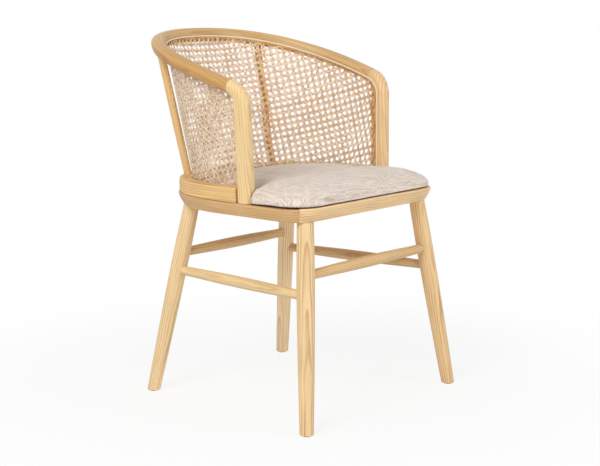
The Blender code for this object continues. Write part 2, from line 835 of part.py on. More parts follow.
def upright_loops(low, high, grow):
    loops = []
    for share in spread(0.0, 1.0, UPRIGHT_STEPS + 1):
        swell = 1 + (UPRIGHT_SWELL_SHARE - 1) * math.sin(math.pi * share)
        radius = UPRIGHT_RADIUS * swell + grow
        loops.append(circle(low + (high - low) * share, high - low, radius, STRETCHER_SIDES))
    return loops


def make_uprights(sill, rail):
    for side, name in ((1, "upright_left"), (-1, "upright_right")):
        low, high, direction = upright_axis(side)
        foot = low - direction * UPRIGHT_SOCKET_DEPTH
        head = high + direction * UPRIGHT_SOCKET_DEPTH
        loft(name, upright_loops(foot, head, 0.0), ash(name))
        deeper = direction * FIT_GAP
        bore = UPRIGHT_RADIUS + FIT_GAP * 2
        below = rod(foot - deeper, low + direction * 2 * UPRIGHT_SOCKET_DEPTH, bore, STRETCHER_SIDES)
        above = rod(high - direction * 2 * UPRIGHT_SOCKET_DEPTH, head + deeper, bore, STRETCHER_SIDES)
        cut(sill, name + "_sill_socket", [below])
        cut(rail, name + "_rail_socket", [above])


# Dowels of the frame

def make_dowel(name, start, end):
    loft(name, rod(start, end, DOWEL_RADIUS), ash(name))


def make_arm_dowels(rail, posts):
    """Two dowels on each side, from the end of the crest rail into the arm corner."""
    for side, place in ((1, "left"), (-1, "right")):
        holes = []
        start = mirrored(CORNER_START, side)
        along = mirrored(CORNER_LEAVING, side)
        across = mirrored(crest_station(CREST_END).outward, side)
        for shift, edge in ((-ARM_DOWEL_SPREAD, "inner"), (ARM_DOWEL_SPREAD, "outer")):
            middle = start + across * shift
            reach = along * DOWEL_LENGTH / 2
            make_dowel(f"arm_dowel_{place}_{edge}", middle - reach, middle + reach)
            deeper = along * FIT_GAP
            hole = rod(middle - reach - deeper, middle + reach + deeper, DOWEL_RADIUS + FIT_GAP)
            holes.append(hole)
        cut(rail, f"rail_dowel_holes_{place}", holes)
        cut(posts[side], f"post_dowel_holes_{place}", holes)


def make_ring_dowel(name, place, targets):
    """A dowel across the top face of the ring, and its hole in both neighbours."""
    up = Vector((0, 0, DOWEL_LENGTH / 2))
    deeper = Vector((0, 0, FIT_GAP))
    middle = Vector((place.x, place.y, RING_TOP))
    make_dowel(name, middle - up, middle + up)
    hole = rod(middle - up - deeper, middle + up + deeper, DOWEL_RADIUS + FIT_GAP)
    for target in targets:
        cut(target, f"{name}_hole_in_{target.name}", [hole])


def make_ring_dowels(sill, posts, bent_rail):
    """Dowels from the sill and from both posts down into the seat ring."""
    names = ("right", "rear_right", "rear", "rear_left", "left")
    for share, place in zip(SILL_DOWEL_SHARES, names):
        make_ring_dowel("dowel_sill_" + place, SILL_PLAN.at(share), (sill, bent_rail))
    for side, place in ((1, "left"), (-1, "right")):
        make_ring_dowel("dowel_post_" + place, mirrored(POST_FOOT, side), (posts[side], bent_rail))


# Cane webbing and the reeds that hold it

FACE_INSET = FRAME_THICKNESS / 2 + BEARING_GAP
CANE_LOW = SILL_HIGH - SILL_GROOVE_BELOW_TOP + GROOVE_WIDTH / 2


def cane_column(share):
    """Outer face of the cane at one ruling of the tub: four heights and their outward axes."""
    sill_share = sill_share_below(share)
    outward = SILL_PLAN.outward(sill_share)
    base = SILL_PLAN.at(sill_share) - outward * FACE_INSET
    low = base + Vector((0, 0, CANE_LOW))
    edge = base + Vector((0, 0, SILL_HIGH - SILL_ROUND))
    station = crest_station(share)
    groove, lip = station.place((
        (-FACE_INSET, -CREST_GROOVE_DROP - GROOVE_WIDTH / 2),
        (-FACE_INSET, BOTTOM_INNER_ROUND - crest_depth(share) / 2),
    ))
    return [low, edge, lip, groove], [outward, outward, station.outward, station.outward]


def arm_column(share):
    """Outer face of the cane below one point of the left arm corner."""
    station = corner_station(share)
    top = station.place([(-FACE_INSET, -corner_groove_drop(share) - GROOVE_WIDTH / 2)])[0]
    up = Vector((0, 0, 1))
    low = meet_plane([top], POST_DOWN, up * CANE_LOW, up)[0]
    edge = meet_plane([top], POST_DOWN, up * (SILL_HIGH - SILL_ROUND), up)[0]
    sill_inner = RING_HALF_WIDTH - SILL_MIDDLE_INSET - FACE_INSET
    low.x = min(low.x, sill_inner)
    edge.x = min(edge.x, sill_inner)
    lip = edge.lerp(top, CANE_LIP_SHARE)
    return [low, edge, lip, top], [station.outward] * 4


def mirrored_column(column):
    points, normals = column
    return [mirrored(p, -1) for p in points], [mirrored(n, -1) for n in normals]


def cane_faces(column):
    """Outer and inner points of one column, from the sill up, with the edges of its openings."""
    (low, edge, lip, top), (low_out, edge_out, lip_out, top_out) = column
    half_opening = CANE_OPENING_HEIGHT_SHARE / 2
    edges = [row + 0.5 + half for row in range(CANE_OPENING_ROWS) for half in (-half_opening, half_opening)]
    shares = [edge_at / CANE_OPENING_ROWS for edge_at in edges]
    points = [low, edge] + [edge.lerp(lip, share) for share in shares] + [lip, top]
    normals = [low_out, edge_out]
    normals += [edge_out.lerp(lip_out, share).normalized() for share in shares]
    normals += [lip_out, top_out]
    return points, [p - n * CANE_THICKNESS for p, n in zip(points, normals)]


def open_sheet(outer, inner, is_solid):
    """A sheet of quads between two faces, with some left out and a wall along every edge."""
    mesh_data = bmesh.new()
    faces = [[[mesh_data.verts.new(p) for p in column] for column in face] for face in (outer, inner)]
    across = len(outer) - 1
    up = len(outer[0]) - 1
    cells = {(i, k) for i in range(across) for k in range(up) if is_solid(i, k)}
    for i, k in cells:
        corners = ((i, k), (i + 1, k), (i + 1, k + 1), (i, k + 1))
        for face in faces:
            mesh_data.faces.new([face[a][b] for a, b in corners])
        beside = ((i, k - 1), (i + 1, k), (i, k + 1), (i - 1, k))
        for first, second, neighbour in zip(corners, corners[1:] + corners[:1], beside):
            if neighbour not in cells:
                wall = [faces[0][first[0]][first[1]], faces[0][second[0]][second[1]]]
                wall += [faces[1][second[0]][second[1]], faces[1][first[0]][first[1]]]
                mesh_data.faces.new(wall)
    return mesh_data


def make_cane_webbing():
    """The webbing as one thin curved sheet with a plain grid of openings; its weave is finer."""
    inner_end = CREST_END * CANE_END_SHARE
    back = [cane_column(share) for share in spread(-inner_end, inner_end, CREST_STATIONS)]
    arm = [arm_column(share) for share in spread(0.0, 1.0, CORNER_STATIONS)[1:]]
    columns = [mirrored_column(column) for column in arm[::-1]] + back + arm
    outer, inner = zip(*(cane_faces(column) for column in columns))

    def is_solid(step, level):
        along = step - len(arm)
        in_back = 0 <= along < CREST_STATIONS - 1
        between_bars = 0 < along % CANE_OPENING_STEPS < CANE_OPENING_STEPS - 1
        in_row = 2 <= level <= 2 * CANE_OPENING_ROWS and level % 2 == 0
        return not (in_back and between_bars and in_row)

    mesh_data = open_sheet(outer, inner, is_solid)
    return add_object("cane_webbing", mesh_data, cane("cane_webbing"))


def reed_section(drop):
    """Round section of a reed in its groove, as (outward, edgeward)."""
    sink = -FRAME_THICKNESS / 2 + REED_RADIUS - REED_PROUD
    turns = [math.tau * step / REED_SIDES for step in range(REED_SIDES)]
    return [
        (sink + REED_RADIUS * math.cos(turn), REED_RADIUS * math.sin(turn) - drop)
        for turn in turns
    ]


def make_frame_reed():
    """One reed runs up a post, round the crest rail and down the other post."""
    low = post_station(POST_FOOT - POST_DOWN * (SILL_HEIGHT - SILL_GROOVE_BELOW_TOP))
    left = []
    for share in spread(0.0, 1.0, CORNER_STATIONS):
        left.append(corner_station(share).place(reed_section(corner_groove_drop(share))))
    left.append(low.place(reed_section(POST_GROOVE_DROP)))
    right = [[mirrored(point, -1) for point in loop] for loop in left]
    section = reed_section(CREST_GROOVE_DROP)
    shares = spread(-CREST_END, CREST_END, CREST_STATIONS)
    rail = [crest_station(share).place(section) for share in shares]
    return loft("frame_reed", right[::-1] + rail[1:-1] + left, cane("frame_reed"))


def make_sill_reed():
    section = reed_section(0.0)
    middle = Vector((0, 0, SILL_HIGH - SILL_GROOVE_BELOW_TOP))
    loops = []
    for share in spread(-CANE_END_SHARE, CANE_END_SHARE, SILL_STATIONS):
        centre = SILL_PLAN.at(share) + middle
        outward = SILL_PLAN.outward(share)
        loops.append([centre + outward * across + Vector((0, 0, up)) for across, up in section])
    return loft("sill_reed", loops, cane("sill_reed"))


# Seat board, blocks, screws and cushion

def block_outline(share):
    """Plan of a block: it follows the ring's inner face and is cut off straight behind."""
    points = []
    for at in spread(share - BLOCK_SHARE_SPAN, share + BLOCK_SHARE_SPAN, BLOCK_STATIONS):
        outer, normal, inner = ring_edges(at)
        points.append(inner + (inner - outer).normalized() * FIT_GAP)
    return points


def block_places():
    rear = REAR_BLOCK_SHARE * ARC_START_SHARE
    return {
        "front_left": FRONT_CORNER_SHARE,
        "front_right": -FRONT_CORNER_SHARE,
        "rear_left": rear,
        "rear_right": -rear,
    }


def block_screw_point(share):
    """Halfway between a block's curved face and its straight one."""
    outline = block_outline(share)
    chord = (outline[0] + outline[-1]) / 2
    return (outline[BLOCK_STATIONS // 2] + chord) / 2


def make_corner_blocks():
    blocks = {}
    low = RING_TOP - BLOCK_HEIGHT
    for place, share in block_places().items():
        outline = block_outline(share)
        loops = [[Vector((p.x, p.y, z)) for p in outline] for z in (low, RING_TOP)]
        name = "corner_block_" + place
        blocks[place] = loft(name, loops, ash(name))
    return blocks


def screw_tip():
    return RING_TOP + BEARING_GAP + SCREW_BITE


def screw_hole(point):
    levels = (RING_TOP - BLOCK_HEIGHT - CUT_OVERRUN, screw_tip() + FIT_GAP)
    bore = SCREW_RADIUS + FIT_GAP
    return [level_circle(Vector((point.x, point.y, z)), bore, SMALL_SIDES) for z in levels]


def seat_screw(point):
    under = RING_TOP - BLOCK_HEIGHT - BEARING_GAP
    levels = (
        (under - SCREW_HEAD_HEIGHT, SCREW_HEAD_RADIUS * SCREW_CROWN_SHARE),
        (under - SCREW_HEAD_HEIGHT / 2, SCREW_HEAD_RADIUS),
        (under, SCREW_HEAD_RADIUS),
        (under, SCREW_RADIUS),
        (screw_tip() - SCREW_RADIUS, SCREW_RADIUS),
        (screw_tip(), SCREW_RADIUS * SCREW_TIP_SHARE),
    )
    return [level_circle(Vector((point.x, point.y, z)), radius, SMALL_SIDES) for z, radius in levels]


def make_seat_screws(blocks, board):
    points = {place: block_screw_point(share) for place, share in block_places().items()}
    for place, point in points.items():
        name = "seat_screw_" + place
        loft(name, seat_screw(point), steel(name))
        cut(blocks[place], place + "_screw_hole", [screw_hole(point)])
    cut(board, "board_screw_holes", [screw_hole(point) for point in points.values()])


def tub_inner(share, clearance):
    """Plan point inside the tub, clear of the sill and of the cane on it."""
    return SILL_PLAN.at(share) - SILL_PLAN.outward(share) * (FACE_INSET + CANE_THICKNESS + clearance)


def fillet(before, corner, after, radius, steps):
    """Points of an arc that rounds one corner of an outline."""
    to_before = (before - corner).normalized()
    to_after = (after - corner).normalized()
    half = to_before.angle(to_after) / 2
    setback = radius / math.tan(half)
    middle = corner + (to_before + to_after).normalized() * (radius / math.sin(half))
    start = corner + to_before * setback - middle
    end = corner + to_after * setback - middle
    points = []
    for step in range(steps + 1):
        share = step / steps
        points.append(middle + start.lerp(end, share).normalized() * radius)
    return points


def seat_outline(inset, clearance, post_clearance, notch_radius, lobe_radius):
    """Closed outline of the pad: full width before the posts, narrower inside the tub."""
    step_y = -POST_FORWARD - POST_DEPTH / 2 - post_clearance
    inside_x = POST_HALF_WIDTH - FRAME_THICKNESS / 2 - clearance - CANE_THICKNESS
    lobe_x = RING_HALF_WIDTH - inset
    rear_share = SILL_PLAN.share_at_y(RING_SHOULDER) * CUSHION_REAR_SHARE
    rear = [tub_inner(share, clearance) for share in spread(0.0, rear_share, 13)]
    inside_x = min(inside_x, rear[-1].x)
    notch = Vector((inside_x, step_y, 0))
    lobe = Vector((lobe_x, step_y, 0))
    front_y = -RING_FRONT + inset
    radius = RING_CORNER_RADIUS - inset
    corner = Vector((lobe_x, front_y, 0))
    below = Vector((lobe_x, front_y + 2 * radius, 0))
    middle = Vector((0, front_y, 0))
    half = list(rear)
    half += fillet(rear[-1], notch, lobe, notch_radius, 3)
    half += fillet(notch, lobe, corner, lobe_radius, 4)
    half += [Vector((lobe_x, step_y + (below.y - step_y) * k / 3, 0)) for k in (1, 2)]
    half += fillet(below, corner, middle, radius, 6)
    half += [Vector((lobe_x * k / 4, front_y, 0)) for k in (2, 1)]
    mirror = [mirrored(point, -1) for point in half[1:]]
    return half + [middle] + mirror[::-1]


def shrunk(outline, share):
    centre = Vector((0, (RING_BACK - RING_FRONT) / 2 - SILL_MIDDLE_INSET, 0))
    return [centre + (point - centre) * (1 - share) for point in outline]


def board_outline(grow):
    inset = BOARD_INSET - grow
    side = inset - CUSHION_INSET
    return seat_outline(inset, side, inset / 2, CUSHION_NOTCH_RADIUS, CUSHION_NOTCH_RADIUS)


def make_seat_board():
    outline = board_outline(0.0)
    low = RING_TOP + BEARING_GAP
    loops = [[Vector((p.x, p.y, z)) for p in outline] for z in (low, low + BOARD_THICKNESS)]
    return loft("seat_board", loops, plywood("seat_board"))


def raised(point, rise):
    """Lift a point of the pad; the pad gets thinner towards the back."""
    run = max(point.y - CUSHION_FALL_START, 0) / (RING_BACK - CUSHION_FALL_START)
    fall = CUSHION_REAR_FALL_SHARE * run ** CUSHION_FALL_POWER
    return Vector((point.x, point.y, RING_TOP + rise * (1 - fall)))


def crown_share(inset_share):
    """Height of the pad's crown: steep at the edge and nearly flat in the middle."""
    roundness = math.sqrt(1 - (1 - inset_share) ** CUSHION_ROUND_POWER)
    return CUSHION_EDGE_SHARE + (1 - CUSHION_EDGE_SHARE) * roundness


def make_cushion():
    """Crowned pad that wraps over the edge of its board and tucks under it."""
    edge = seat_outline(
        CUSHION_INSET, CUSHION_TUB_CLEARANCE, CUSHION_POST_CLEARANCE,
        CUSHION_NOTCH_RADIUS, CUSHION_LOBE_RADIUS
    )
    pocket = board_outline(FIT_GAP)
    low = RING_TOP + BEARING_GAP
    top = low + BOARD_THICKNESS + FIT_GAP
    tuck = shrunk(edge, CUSHION_TUCK / RING_HALF_WIDTH)
    draw = shrunk(edge, CUSHION_SIDE_DRAW_SHARE)
    loops = [
        [Vector((p.x, p.y, top)) for p in pocket],
        [Vector((p.x, p.y, low)) for p in pocket],
        [Vector((p.x, p.y, low)) for p in tuck],
        [Vector((p.x, p.y, low + CUSHION_WIDEST / 3)) for p in draw],
    ]
    for step in spread(0.0, 1.0, CUSHION_STEPS + 1):
        inset_share = CUSHION_TOP_SHARE * step ** CUSHION_SPACING_POWER
        rise = CUSHION_CROWN * crown_share(inset_share)
        loops.append([raised(point, rise) for point in shrunk(edge, inset_share)])
    mesh_data = bmesh.new()
    bridge(mesh_data, loops)
    return add_object("seat_cushion", mesh_data, linen("seat_cushion"), CUSHION_SMOOTH_ANGLE)


# Placing the whole chair

def outline_middle():
    """Middle of the chair's outline, seen from above."""
    depsgraph = bpy.context.evaluated_depsgraph_get()
    low = Vector((math.inf, math.inf))
    high = -low
    for piece in bpy.context.scene.objects:
        if piece.type != "MESH" or piece.hide_render:
            continue
        for vertex in piece.evaluated_get(depsgraph).data.vertices:
            point = piece.matrix_world @ vertex.co
            low = Vector((min(low.x, point.x), min(low.y, point.y)))
            high = Vector((max(high.x, point.x), max(high.y, point.y)))
    return (low + high) / 2


def stand_on_origin():
    middle = outline_middle()
    chair = bpy.data.objects.new("chair", None)
    bpy.context.scene.collection.objects.link(chair)
    for piece in bpy.context.scene.objects:
        if piece.type == "MESH":
            piece.parent = chair
    chair.location = (-middle.x, -middle.y, 0)


def make_chair():
    clear_scene()
    bent_rail, front_rail = make_seat_ring()
    make_ring_tongues(bent_rail, front_rail)
    make_base()
    for place in LEGS:
        target = front_rail if place.startswith("front") else bent_rail
        cut(target, place + "_mortise", [leg_tenon(place, FIT_GAP)])
    sill = make_sill()
    crest_rail = make_crest_rail()
    posts = {side: make_arm_post(side) for side in (1, -1)}
    make_uprights(sill, crest_rail)
    make_arm_dowels(crest_rail, posts)
    make_ring_dowels(sill, posts, bent_rail)
    make_cane_webbing()
    make_frame_reed()
    make_sill_reed()
    blocks = make_corner_blocks()
    board = make_seat_board()
    make_seat_screws(blocks, board)
    make_cushion()
    stand_on_origin()


make_chair()
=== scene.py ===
import bmesh
import bpy
import math
import numpy as np
from functools import partial
from mathutils import Matrix, Vector
from mathutils.bvhtree import BVHTree


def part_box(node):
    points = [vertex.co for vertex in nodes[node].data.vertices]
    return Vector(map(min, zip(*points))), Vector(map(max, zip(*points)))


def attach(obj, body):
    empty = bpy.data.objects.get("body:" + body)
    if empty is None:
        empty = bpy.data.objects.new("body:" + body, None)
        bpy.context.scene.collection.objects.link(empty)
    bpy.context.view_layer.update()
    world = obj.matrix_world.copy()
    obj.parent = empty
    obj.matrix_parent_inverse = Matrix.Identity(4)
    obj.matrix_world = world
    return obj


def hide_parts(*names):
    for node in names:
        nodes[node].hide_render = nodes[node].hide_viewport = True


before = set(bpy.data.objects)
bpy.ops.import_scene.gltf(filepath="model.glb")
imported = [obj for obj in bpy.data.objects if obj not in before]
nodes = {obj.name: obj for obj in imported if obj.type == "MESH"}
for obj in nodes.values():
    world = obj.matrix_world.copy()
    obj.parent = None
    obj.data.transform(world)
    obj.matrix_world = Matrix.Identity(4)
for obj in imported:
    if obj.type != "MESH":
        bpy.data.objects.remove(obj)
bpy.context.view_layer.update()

# The studio. A white floor and a white surround, a large soft lamp high on the left
# of the camera and a weaker one on its right. The camera stands in front of the
# chair's right side, a little above the seat, with a long lens.

scene = bpy.context.scene
scene.view_settings.view_transform = "Standard"

CAMERA_PLACE = (-2.2474, -1.9345, 0.8553)
CAMERA_FORWARD = (0.75365, 0.63446, -0.17166)
CAMERA_LENS = 83.67
CAMERA_SENSOR = 36.0
WHITE = (1.0, 1.0, 1.0, 1.0)
SURROUND_LEVEL = 0.46
FLOOR_REACH = 6.0
FLOOR_COLOUR = (0.86, 0.86, 0.86, 1.0)
FLOOR_SHADOW_LEVEL = 0.15
SHADOW_NEAR = 0.35
SHADOW_FAR = 1.10
LAMPS_AIM = Vector((0.0, 0.0, 0.45))


def put_in_scene(name, data):
    """A new object at the origin that shows the given data."""
    thing = bpy.data.objects.new(name, data)
    scene.collection.objects.link(thing)
    return thing


def facing(direction):
    """Turn of a camera or lamp that looks in the given direction, with its top up."""
    return Vector(direction).to_track_quat("-Z", "Y").to_euler()


def feed(tree, socket, source):
    """Put a value on a socket, or link another node's output to it."""
    if isinstance(source, bpy.types.NodeSocket):
        tree.links.new(source, socket)
    else:
        socket.default_value = source


def new_node(tree, kind, inputs=None, **settings):
    """Add a node with its settings, and feed its inputs by their labels or numbers."""
    node = tree.nodes.new(kind)
    for key, value in settings.items():
        setattr(node, key, value)
    for label, source in (inputs or {}).items():
        feed(tree, node.inputs[label], source)
    return node


def math_node(tree, operation, *sources):
    """One calculation with one to three values."""
    return new_node(tree, "ShaderNodeMath", dict(enumerate(sources)), operation=operation).outputs[0]


def ramp(tree, value, low, high, bottom=0.0, top=1.0):
    """Soft step: bottom where the value is below low, and top where it is above high."""
    steps = dict(enumerate((value, low, high, bottom, top)))
    return new_node(tree, "ShaderNodeMapRange", steps, interpolation_type="SMOOTHSTEP").outputs[0]


def object_place(tree):
    """Where a point lies in the chair's own frame."""
    return new_node(tree, "ShaderNodeTexCoord").outputs["Object"]


def empty_tree(owner):
    """The node tree of a world or material, without the nodes that it starts with."""
    owner.use_nodes = True
    owner.node_tree.nodes.clear()
    return owner.node_tree


camera_data = bpy.data.cameras.new("camera")
camera_data.lens = CAMERA_LENS
camera_data.sensor_width = CAMERA_SENSOR
camera_data.sensor_fit = "HORIZONTAL"
camera = put_in_scene("camera", camera_data)
camera.location = CAMERA_PLACE
camera.rotation_euler = facing(CAMERA_FORWARD)
scene.camera = camera

scene.world = bpy.data.worlds.new("surround")
tree = empty_tree(scene.world)
ray = new_node(tree, "ShaderNodeLightPath").outputs
seen = math_node(tree, "MAXIMUM", ray["Is Camera Ray"], ray["Is Glossy Ray"])
seen = math_node(tree, "MAXIMUM", seen, ray["Is Transmission Ray"])
lit = new_node(tree, "ShaderNodeBackground", {"Color": WHITE, "Strength": SURROUND_LEVEL})
white = new_node(tree, "ShaderNodeBackground", {"Color": WHITE})
mix = new_node(tree, "ShaderNodeMixShader", {0: seen, 1: lit.outputs[0], 2: white.outputs[0]})
new_node(tree, "ShaderNodeOutputWorld", {"Surface": mix.outputs[0]})

floor_mesh = bpy.data.meshes.new("floor")
corners = [(x * FLOOR_REACH, y * FLOOR_REACH, 0) for x, y in ((-1, -1), (1, -1), (1, 1), (-1, 1))]
floor_mesh.from_pydata(corners, [], [(0, 1, 2, 3)])
floor = put_in_scene("floor", floor_mesh)
floor_finish = bpy.data.materials.new("floor_finish")
tree = empty_tree(floor_finish)
away = new_node(tree, "ShaderNodeVectorMath", {0: object_place(tree)}, operation="LENGTH")
fade = ramp(tree, away.outputs["Value"], SHADOW_NEAR, SHADOW_FAR, 1 - FLOOR_SHADOW_LEVEL, 1.0)
seen = new_node(tree, "ShaderNodeLightPath").outputs["Is Camera Ray"]
matt = new_node(tree, "ShaderNodeBsdfDiffuse", {"Color": FLOOR_COLOUR})
glow = new_node(tree, "ShaderNodeEmission", {"Color": WHITE})
mix = new_node(tree, "ShaderNodeMixShader",
               {0: math_node(tree, "MULTIPLY", seen, fade), 1: matt.outputs[0], 2: glow.outputs[0]})
new_node(tree, "ShaderNodeOutputMaterial", {"Surface": mix.outputs[0]})
floor_mesh.materials.append(floor_finish)


def soft_lamp(name, place, size, watts):
    """A round area lamp that is aimed at the seat."""
    data = bpy.data.lights.new(name, "AREA")
    data.shape = "DISK"
    data.size = size
    data.energy = watts
    lamp = put_in_scene(name, data)
    lamp.location = place
    lamp.rotation_euler = facing(LAMPS_AIM - Vector(place))


soft_lamp("key_lamp", place=(-2.6, -0.5, 2.4), size=1.7, watts=62.0)
soft_lamp("fill_lamp", place=(0.8, -3.0, 1.5), size=1.8, watts=30.0)

# The legs. Four turned ash legs that lean outward. Their grain runs along each leg,
# and each leg is cut from another place in the board, so no two show the same lines.
# The ash group made here serves every lacquered piece of the chair.

FLOAT = "NodeSocketFloat"
VECTOR = "NodeSocketVector"
ORIGIN = (0.0, 0.0, 0.0)
SOCKET_KINDS = {float: FLOAT, tuple: VECTOR, int: "NodeSocketInt"}
GROWTH_SWAY = 0.016
GROWTH_RISE = (0.42, 0.90)
GROWTH_FALL = (0.92, 1.0)
GROWTH_PATCHES = (0.30, 0.70)
FAINTEST_RING = 0.25
PORE_EDGE = (0.60, 0.72)
PORES_OFF_RINGS = 0.25
STREAK_HEIGHT = 0.3
TONE_AT_LEAST = 0.64
STREAK_TONE = 0.42
CLOUD_TONE = 0.30
PORE_SHARE = 0.35
PORE_COLOUR = (150, 104, 62)
ASH_ROUGHNESS = 0.42
PORE_ROUGHNESS = 0.25
GRAIN_STRENGTH = 0.25
GRAIN_DEPTH = 0.0003


def node_group(name, inputs, outputs, kind="ShaderNodeTree"):
    """A node group with named sockets: gives its tree, what it is given and what it puts out.

    An input has its usual value, or a socket's kind where it has none. An output has a kind.
    """
    group = bpy.data.node_groups.new(name, kind)
    for label, value in inputs.items():
        socket_kind = value if isinstance(value, str) else SOCKET_KINDS[type(value)]
        socket = group.interface.new_socket(label, in_out="INPUT", socket_type=socket_kind)
        if not isinstance(value, str):
            socket.default_value = value
    for label, socket_kind in outputs.items():
        group.interface.new_socket(label, in_out="OUTPUT", socket_type=socket_kind)
    return group, new_node(group, "NodeGroupInput").outputs, new_node(group, "NodeGroupOutput").inputs


def placed(tree, group, values):
    """Places a shader group in a material with its own values, and gives its outputs."""
    return new_node(tree, "ShaderNodeGroup", values, node_tree=group).outputs


def split(tree, vector):
    """The X, Y and Z of a vector."""
    return tuple(new_node(tree, "ShaderNodeSeparateXYZ", {0: vector}).outputs)


def joined(tree, x=0.0, y=0.0, z=0.0):
    """A vector from its X, Y and Z."""
    return new_node(tree, "ShaderNodeCombineXYZ", {0: x, 1: y, 2: z}).outputs[0]


def scaled(tree, vector, along, across, shift):
    """Stretch a grain vector: along the grain and across it, with a shift for the seed."""
    x, y, z = split(tree, vector)
    return joined(tree, math_node(tree, "MULTIPLY_ADD", x, along, shift),
                  math_node(tree, "MULTIPLY_ADD", y, across, shift), math_node(tree, "MULTIPLY", z, across))


def noise(tree, vector, detail=2.0, roughness=0.5, scale=1.0):
    """Soft noise from 0 to 1."""
    settings = {"Vector": vector, "Scale": scale, "Detail": detail, "Roughness": roughness}
    return new_node(tree, "ShaderNodeTexNoise", settings).outputs["Fac"]


def make_ash_grain():
    """Growth rings, streaks and pores of ash, from a vector whose X runs along the grain.

    The rings are circles round the tree's heart, which lies beside the piece. The tilt is
    how fast the heart runs away from the piece along its length.
    """
    group, given, result = node_group(
        "ash_grain",
        {"Grain": ORIGIN, "Seed": 0.0, "Ring Spacing": 0.006, "Heart Depth": 0.03, "Heart Side": 0.0,
         "Tilt": 0.03},
        dict.fromkeys(("Ring", "Streak", "Pore", "Cloud", "Height"), FLOAT))
    calc = partial(math_node, group)

    def patches(along, across, detail=2.0, roughness=0.5):
        """Noise that is drawn out along the grain."""
        drawn_out = scaled(group, given["Grain"], along, across, given["Seed"])
        return noise(group, drawn_out, detail, roughness)

    x, y, z = split(group, given["Grain"])
    depth = calc("ADD", calc("MULTIPLY_ADD", x, given["Tilt"], y), given["Heart Depth"])
    side = calc("ADD", z, given["Heart Side"])
    radius = calc("SQRT", calc("ADD", calc("MULTIPLY", depth, depth), calc("MULTIPLY", side, side)))
    sway = calc("MULTIPLY", calc("SUBTRACT", patches(along=5.0, across=16.0), 0.5), GROWTH_SWAY)
    turn = calc("FRACT", calc("DIVIDE", calc("ADD", radius, sway), given["Ring Spacing"]))
    rising = ramp(group, turn, *GROWTH_RISE)
    falling = ramp(group, turn, *GROWTH_FALL, bottom=1.0, top=0.0)
    faint = ramp(group, patches(along=9.0, across=60.0), *GROWTH_PATCHES, bottom=FAINTEST_RING)
    ring = calc("MULTIPLY", calc("MULTIPLY", rising, falling), faint)
    streak = patches(along=7.0, across=420.0, detail=3.0, roughness=0.6)
    pore = ramp(group, patches(along=90.0, across=1500.0, detail=1.0), *PORE_EDGE)
    pore = calc("MULTIPLY", pore, calc("MULTIPLY_ADD", ring, 1 - PORES_OFF_RINGS, PORES_OFF_RINGS))
    feed(group, result["Ring"], ring)
    feed(group, result["Streak"], streak)
    feed(group, result["Pore"], pore)
    feed(group, result["Cloud"], patches(along=8.0, across=30.0))
    feed(group, result["Height"], calc("MULTIPLY_ADD", pore, -1.0, calc("MULTIPLY", streak, STREAK_HEIGHT)))
    return group


ash_grain = make_ash_grain()


def srgb(red, green, blue):
    """Linear colour of an 8-bit one."""
    parts = [value / 255.0 for value in (red, green, blue)]
    return tuple(p / 12.92 if p <= 0.04045 else ((p + 0.055) / 1.055) ** 2.4 for p in parts) + (1.0,)


def blend(tree, share, first, second, kind="MIX"):
    """Mix two colours: the inputs of a colour mix are its 1st, 7th and 8th."""
    return new_node(tree, "ShaderNodeMix", {0: share, 6: first, 7: second},
                    data_type="RGBA", blend_type=kind).outputs[2]


def finish_named(name, roughness):
    """A new material, with its Principled shader for other nodes to feed."""
    finish = bpy.data.materials.new(name)
    finish.use_nodes = True
    shader = finish.node_tree.nodes["Principled BSDF"]
    shader.inputs["Roughness"].default_value = roughness
    return finish, finish.node_tree, shader


def add_bump(tree, shader, height, strength, depth):
    """Raises and sinks a finish by a height that changes over it."""
    bump = new_node(tree, "ShaderNodeBump", {"Strength": strength, "Distance": depth, "Height": height})
    feed(tree, shader.inputs["Normal"], bump.outputs[0])


def straight_grain(tree, centre, axis, roll=0.0):
    """Grain vector of a straight piece: X runs along its axis, and the roll turns the rings."""
    upright = Vector(axis).rotation_difference(Vector((1, 0, 0))).to_matrix()
    turn = Matrix.Rotation(roll, 3, "X") @ upright
    settings = {"Vector": object_place(tree), "Rotation": turn.to_euler(),
                "Location": -(turn @ Vector(centre))}
    return new_node(tree, "ShaderNodeMapping", settings, vector_type="POINT").outputs[0]


def ash_finish(name, grain, seed, light=(240, 210, 163), dark=(196, 150, 100), spacing=0.0060,
               heart=0.03, side=0.0, tilt=0.03, ring_share=0.72, extra=()):
    """Lacquered ash: pale between the rings and browner in them, with fine pores."""
    finish, tree, shader = finish_named(name, ASH_ROUGHNESS)
    lines = placed(tree, ash_grain, {"Grain": grain(tree), "Seed": seed, "Ring Spacing": spacing,
                                     "Heart Depth": heart, "Heart Side": side, "Tilt": tilt})
    colour = blend(tree, math_node(tree, "MULTIPLY", lines["Ring"], ring_share), srgb(*light), srgb(*dark))
    tone = math_node(tree, "MULTIPLY_ADD", lines["Streak"], STREAK_TONE, TONE_AT_LEAST)
    tone = math_node(tree, "MULTIPLY_ADD", lines["Cloud"], CLOUD_TONE, tone)
    grey = new_node(tree, "ShaderNodeCombineColor", {0: tone, 1: tone, 2: tone}).outputs[0]
    colour = blend(tree, 1.0, colour, grey, "MULTIPLY")
    pores = math_node(tree, "MULTIPLY", lines["Pore"], PORE_SHARE)
    colour = blend(tree, pores, colour, srgb(*PORE_COLOUR))
    for change in extra:
        colour = change(tree, colour)
    feed(tree, shader.inputs["Base Color"], colour)
    roughness = math_node(tree, "MULTIPLY_ADD", lines["Pore"], PORE_ROUGHNESS, ASH_ROUGHNESS)
    feed(tree, shader.inputs["Roughness"], roughness)
    add_bump(tree, shader, lines["Height"], GRAIN_STRENGTH, GRAIN_DEPTH)
    return finish


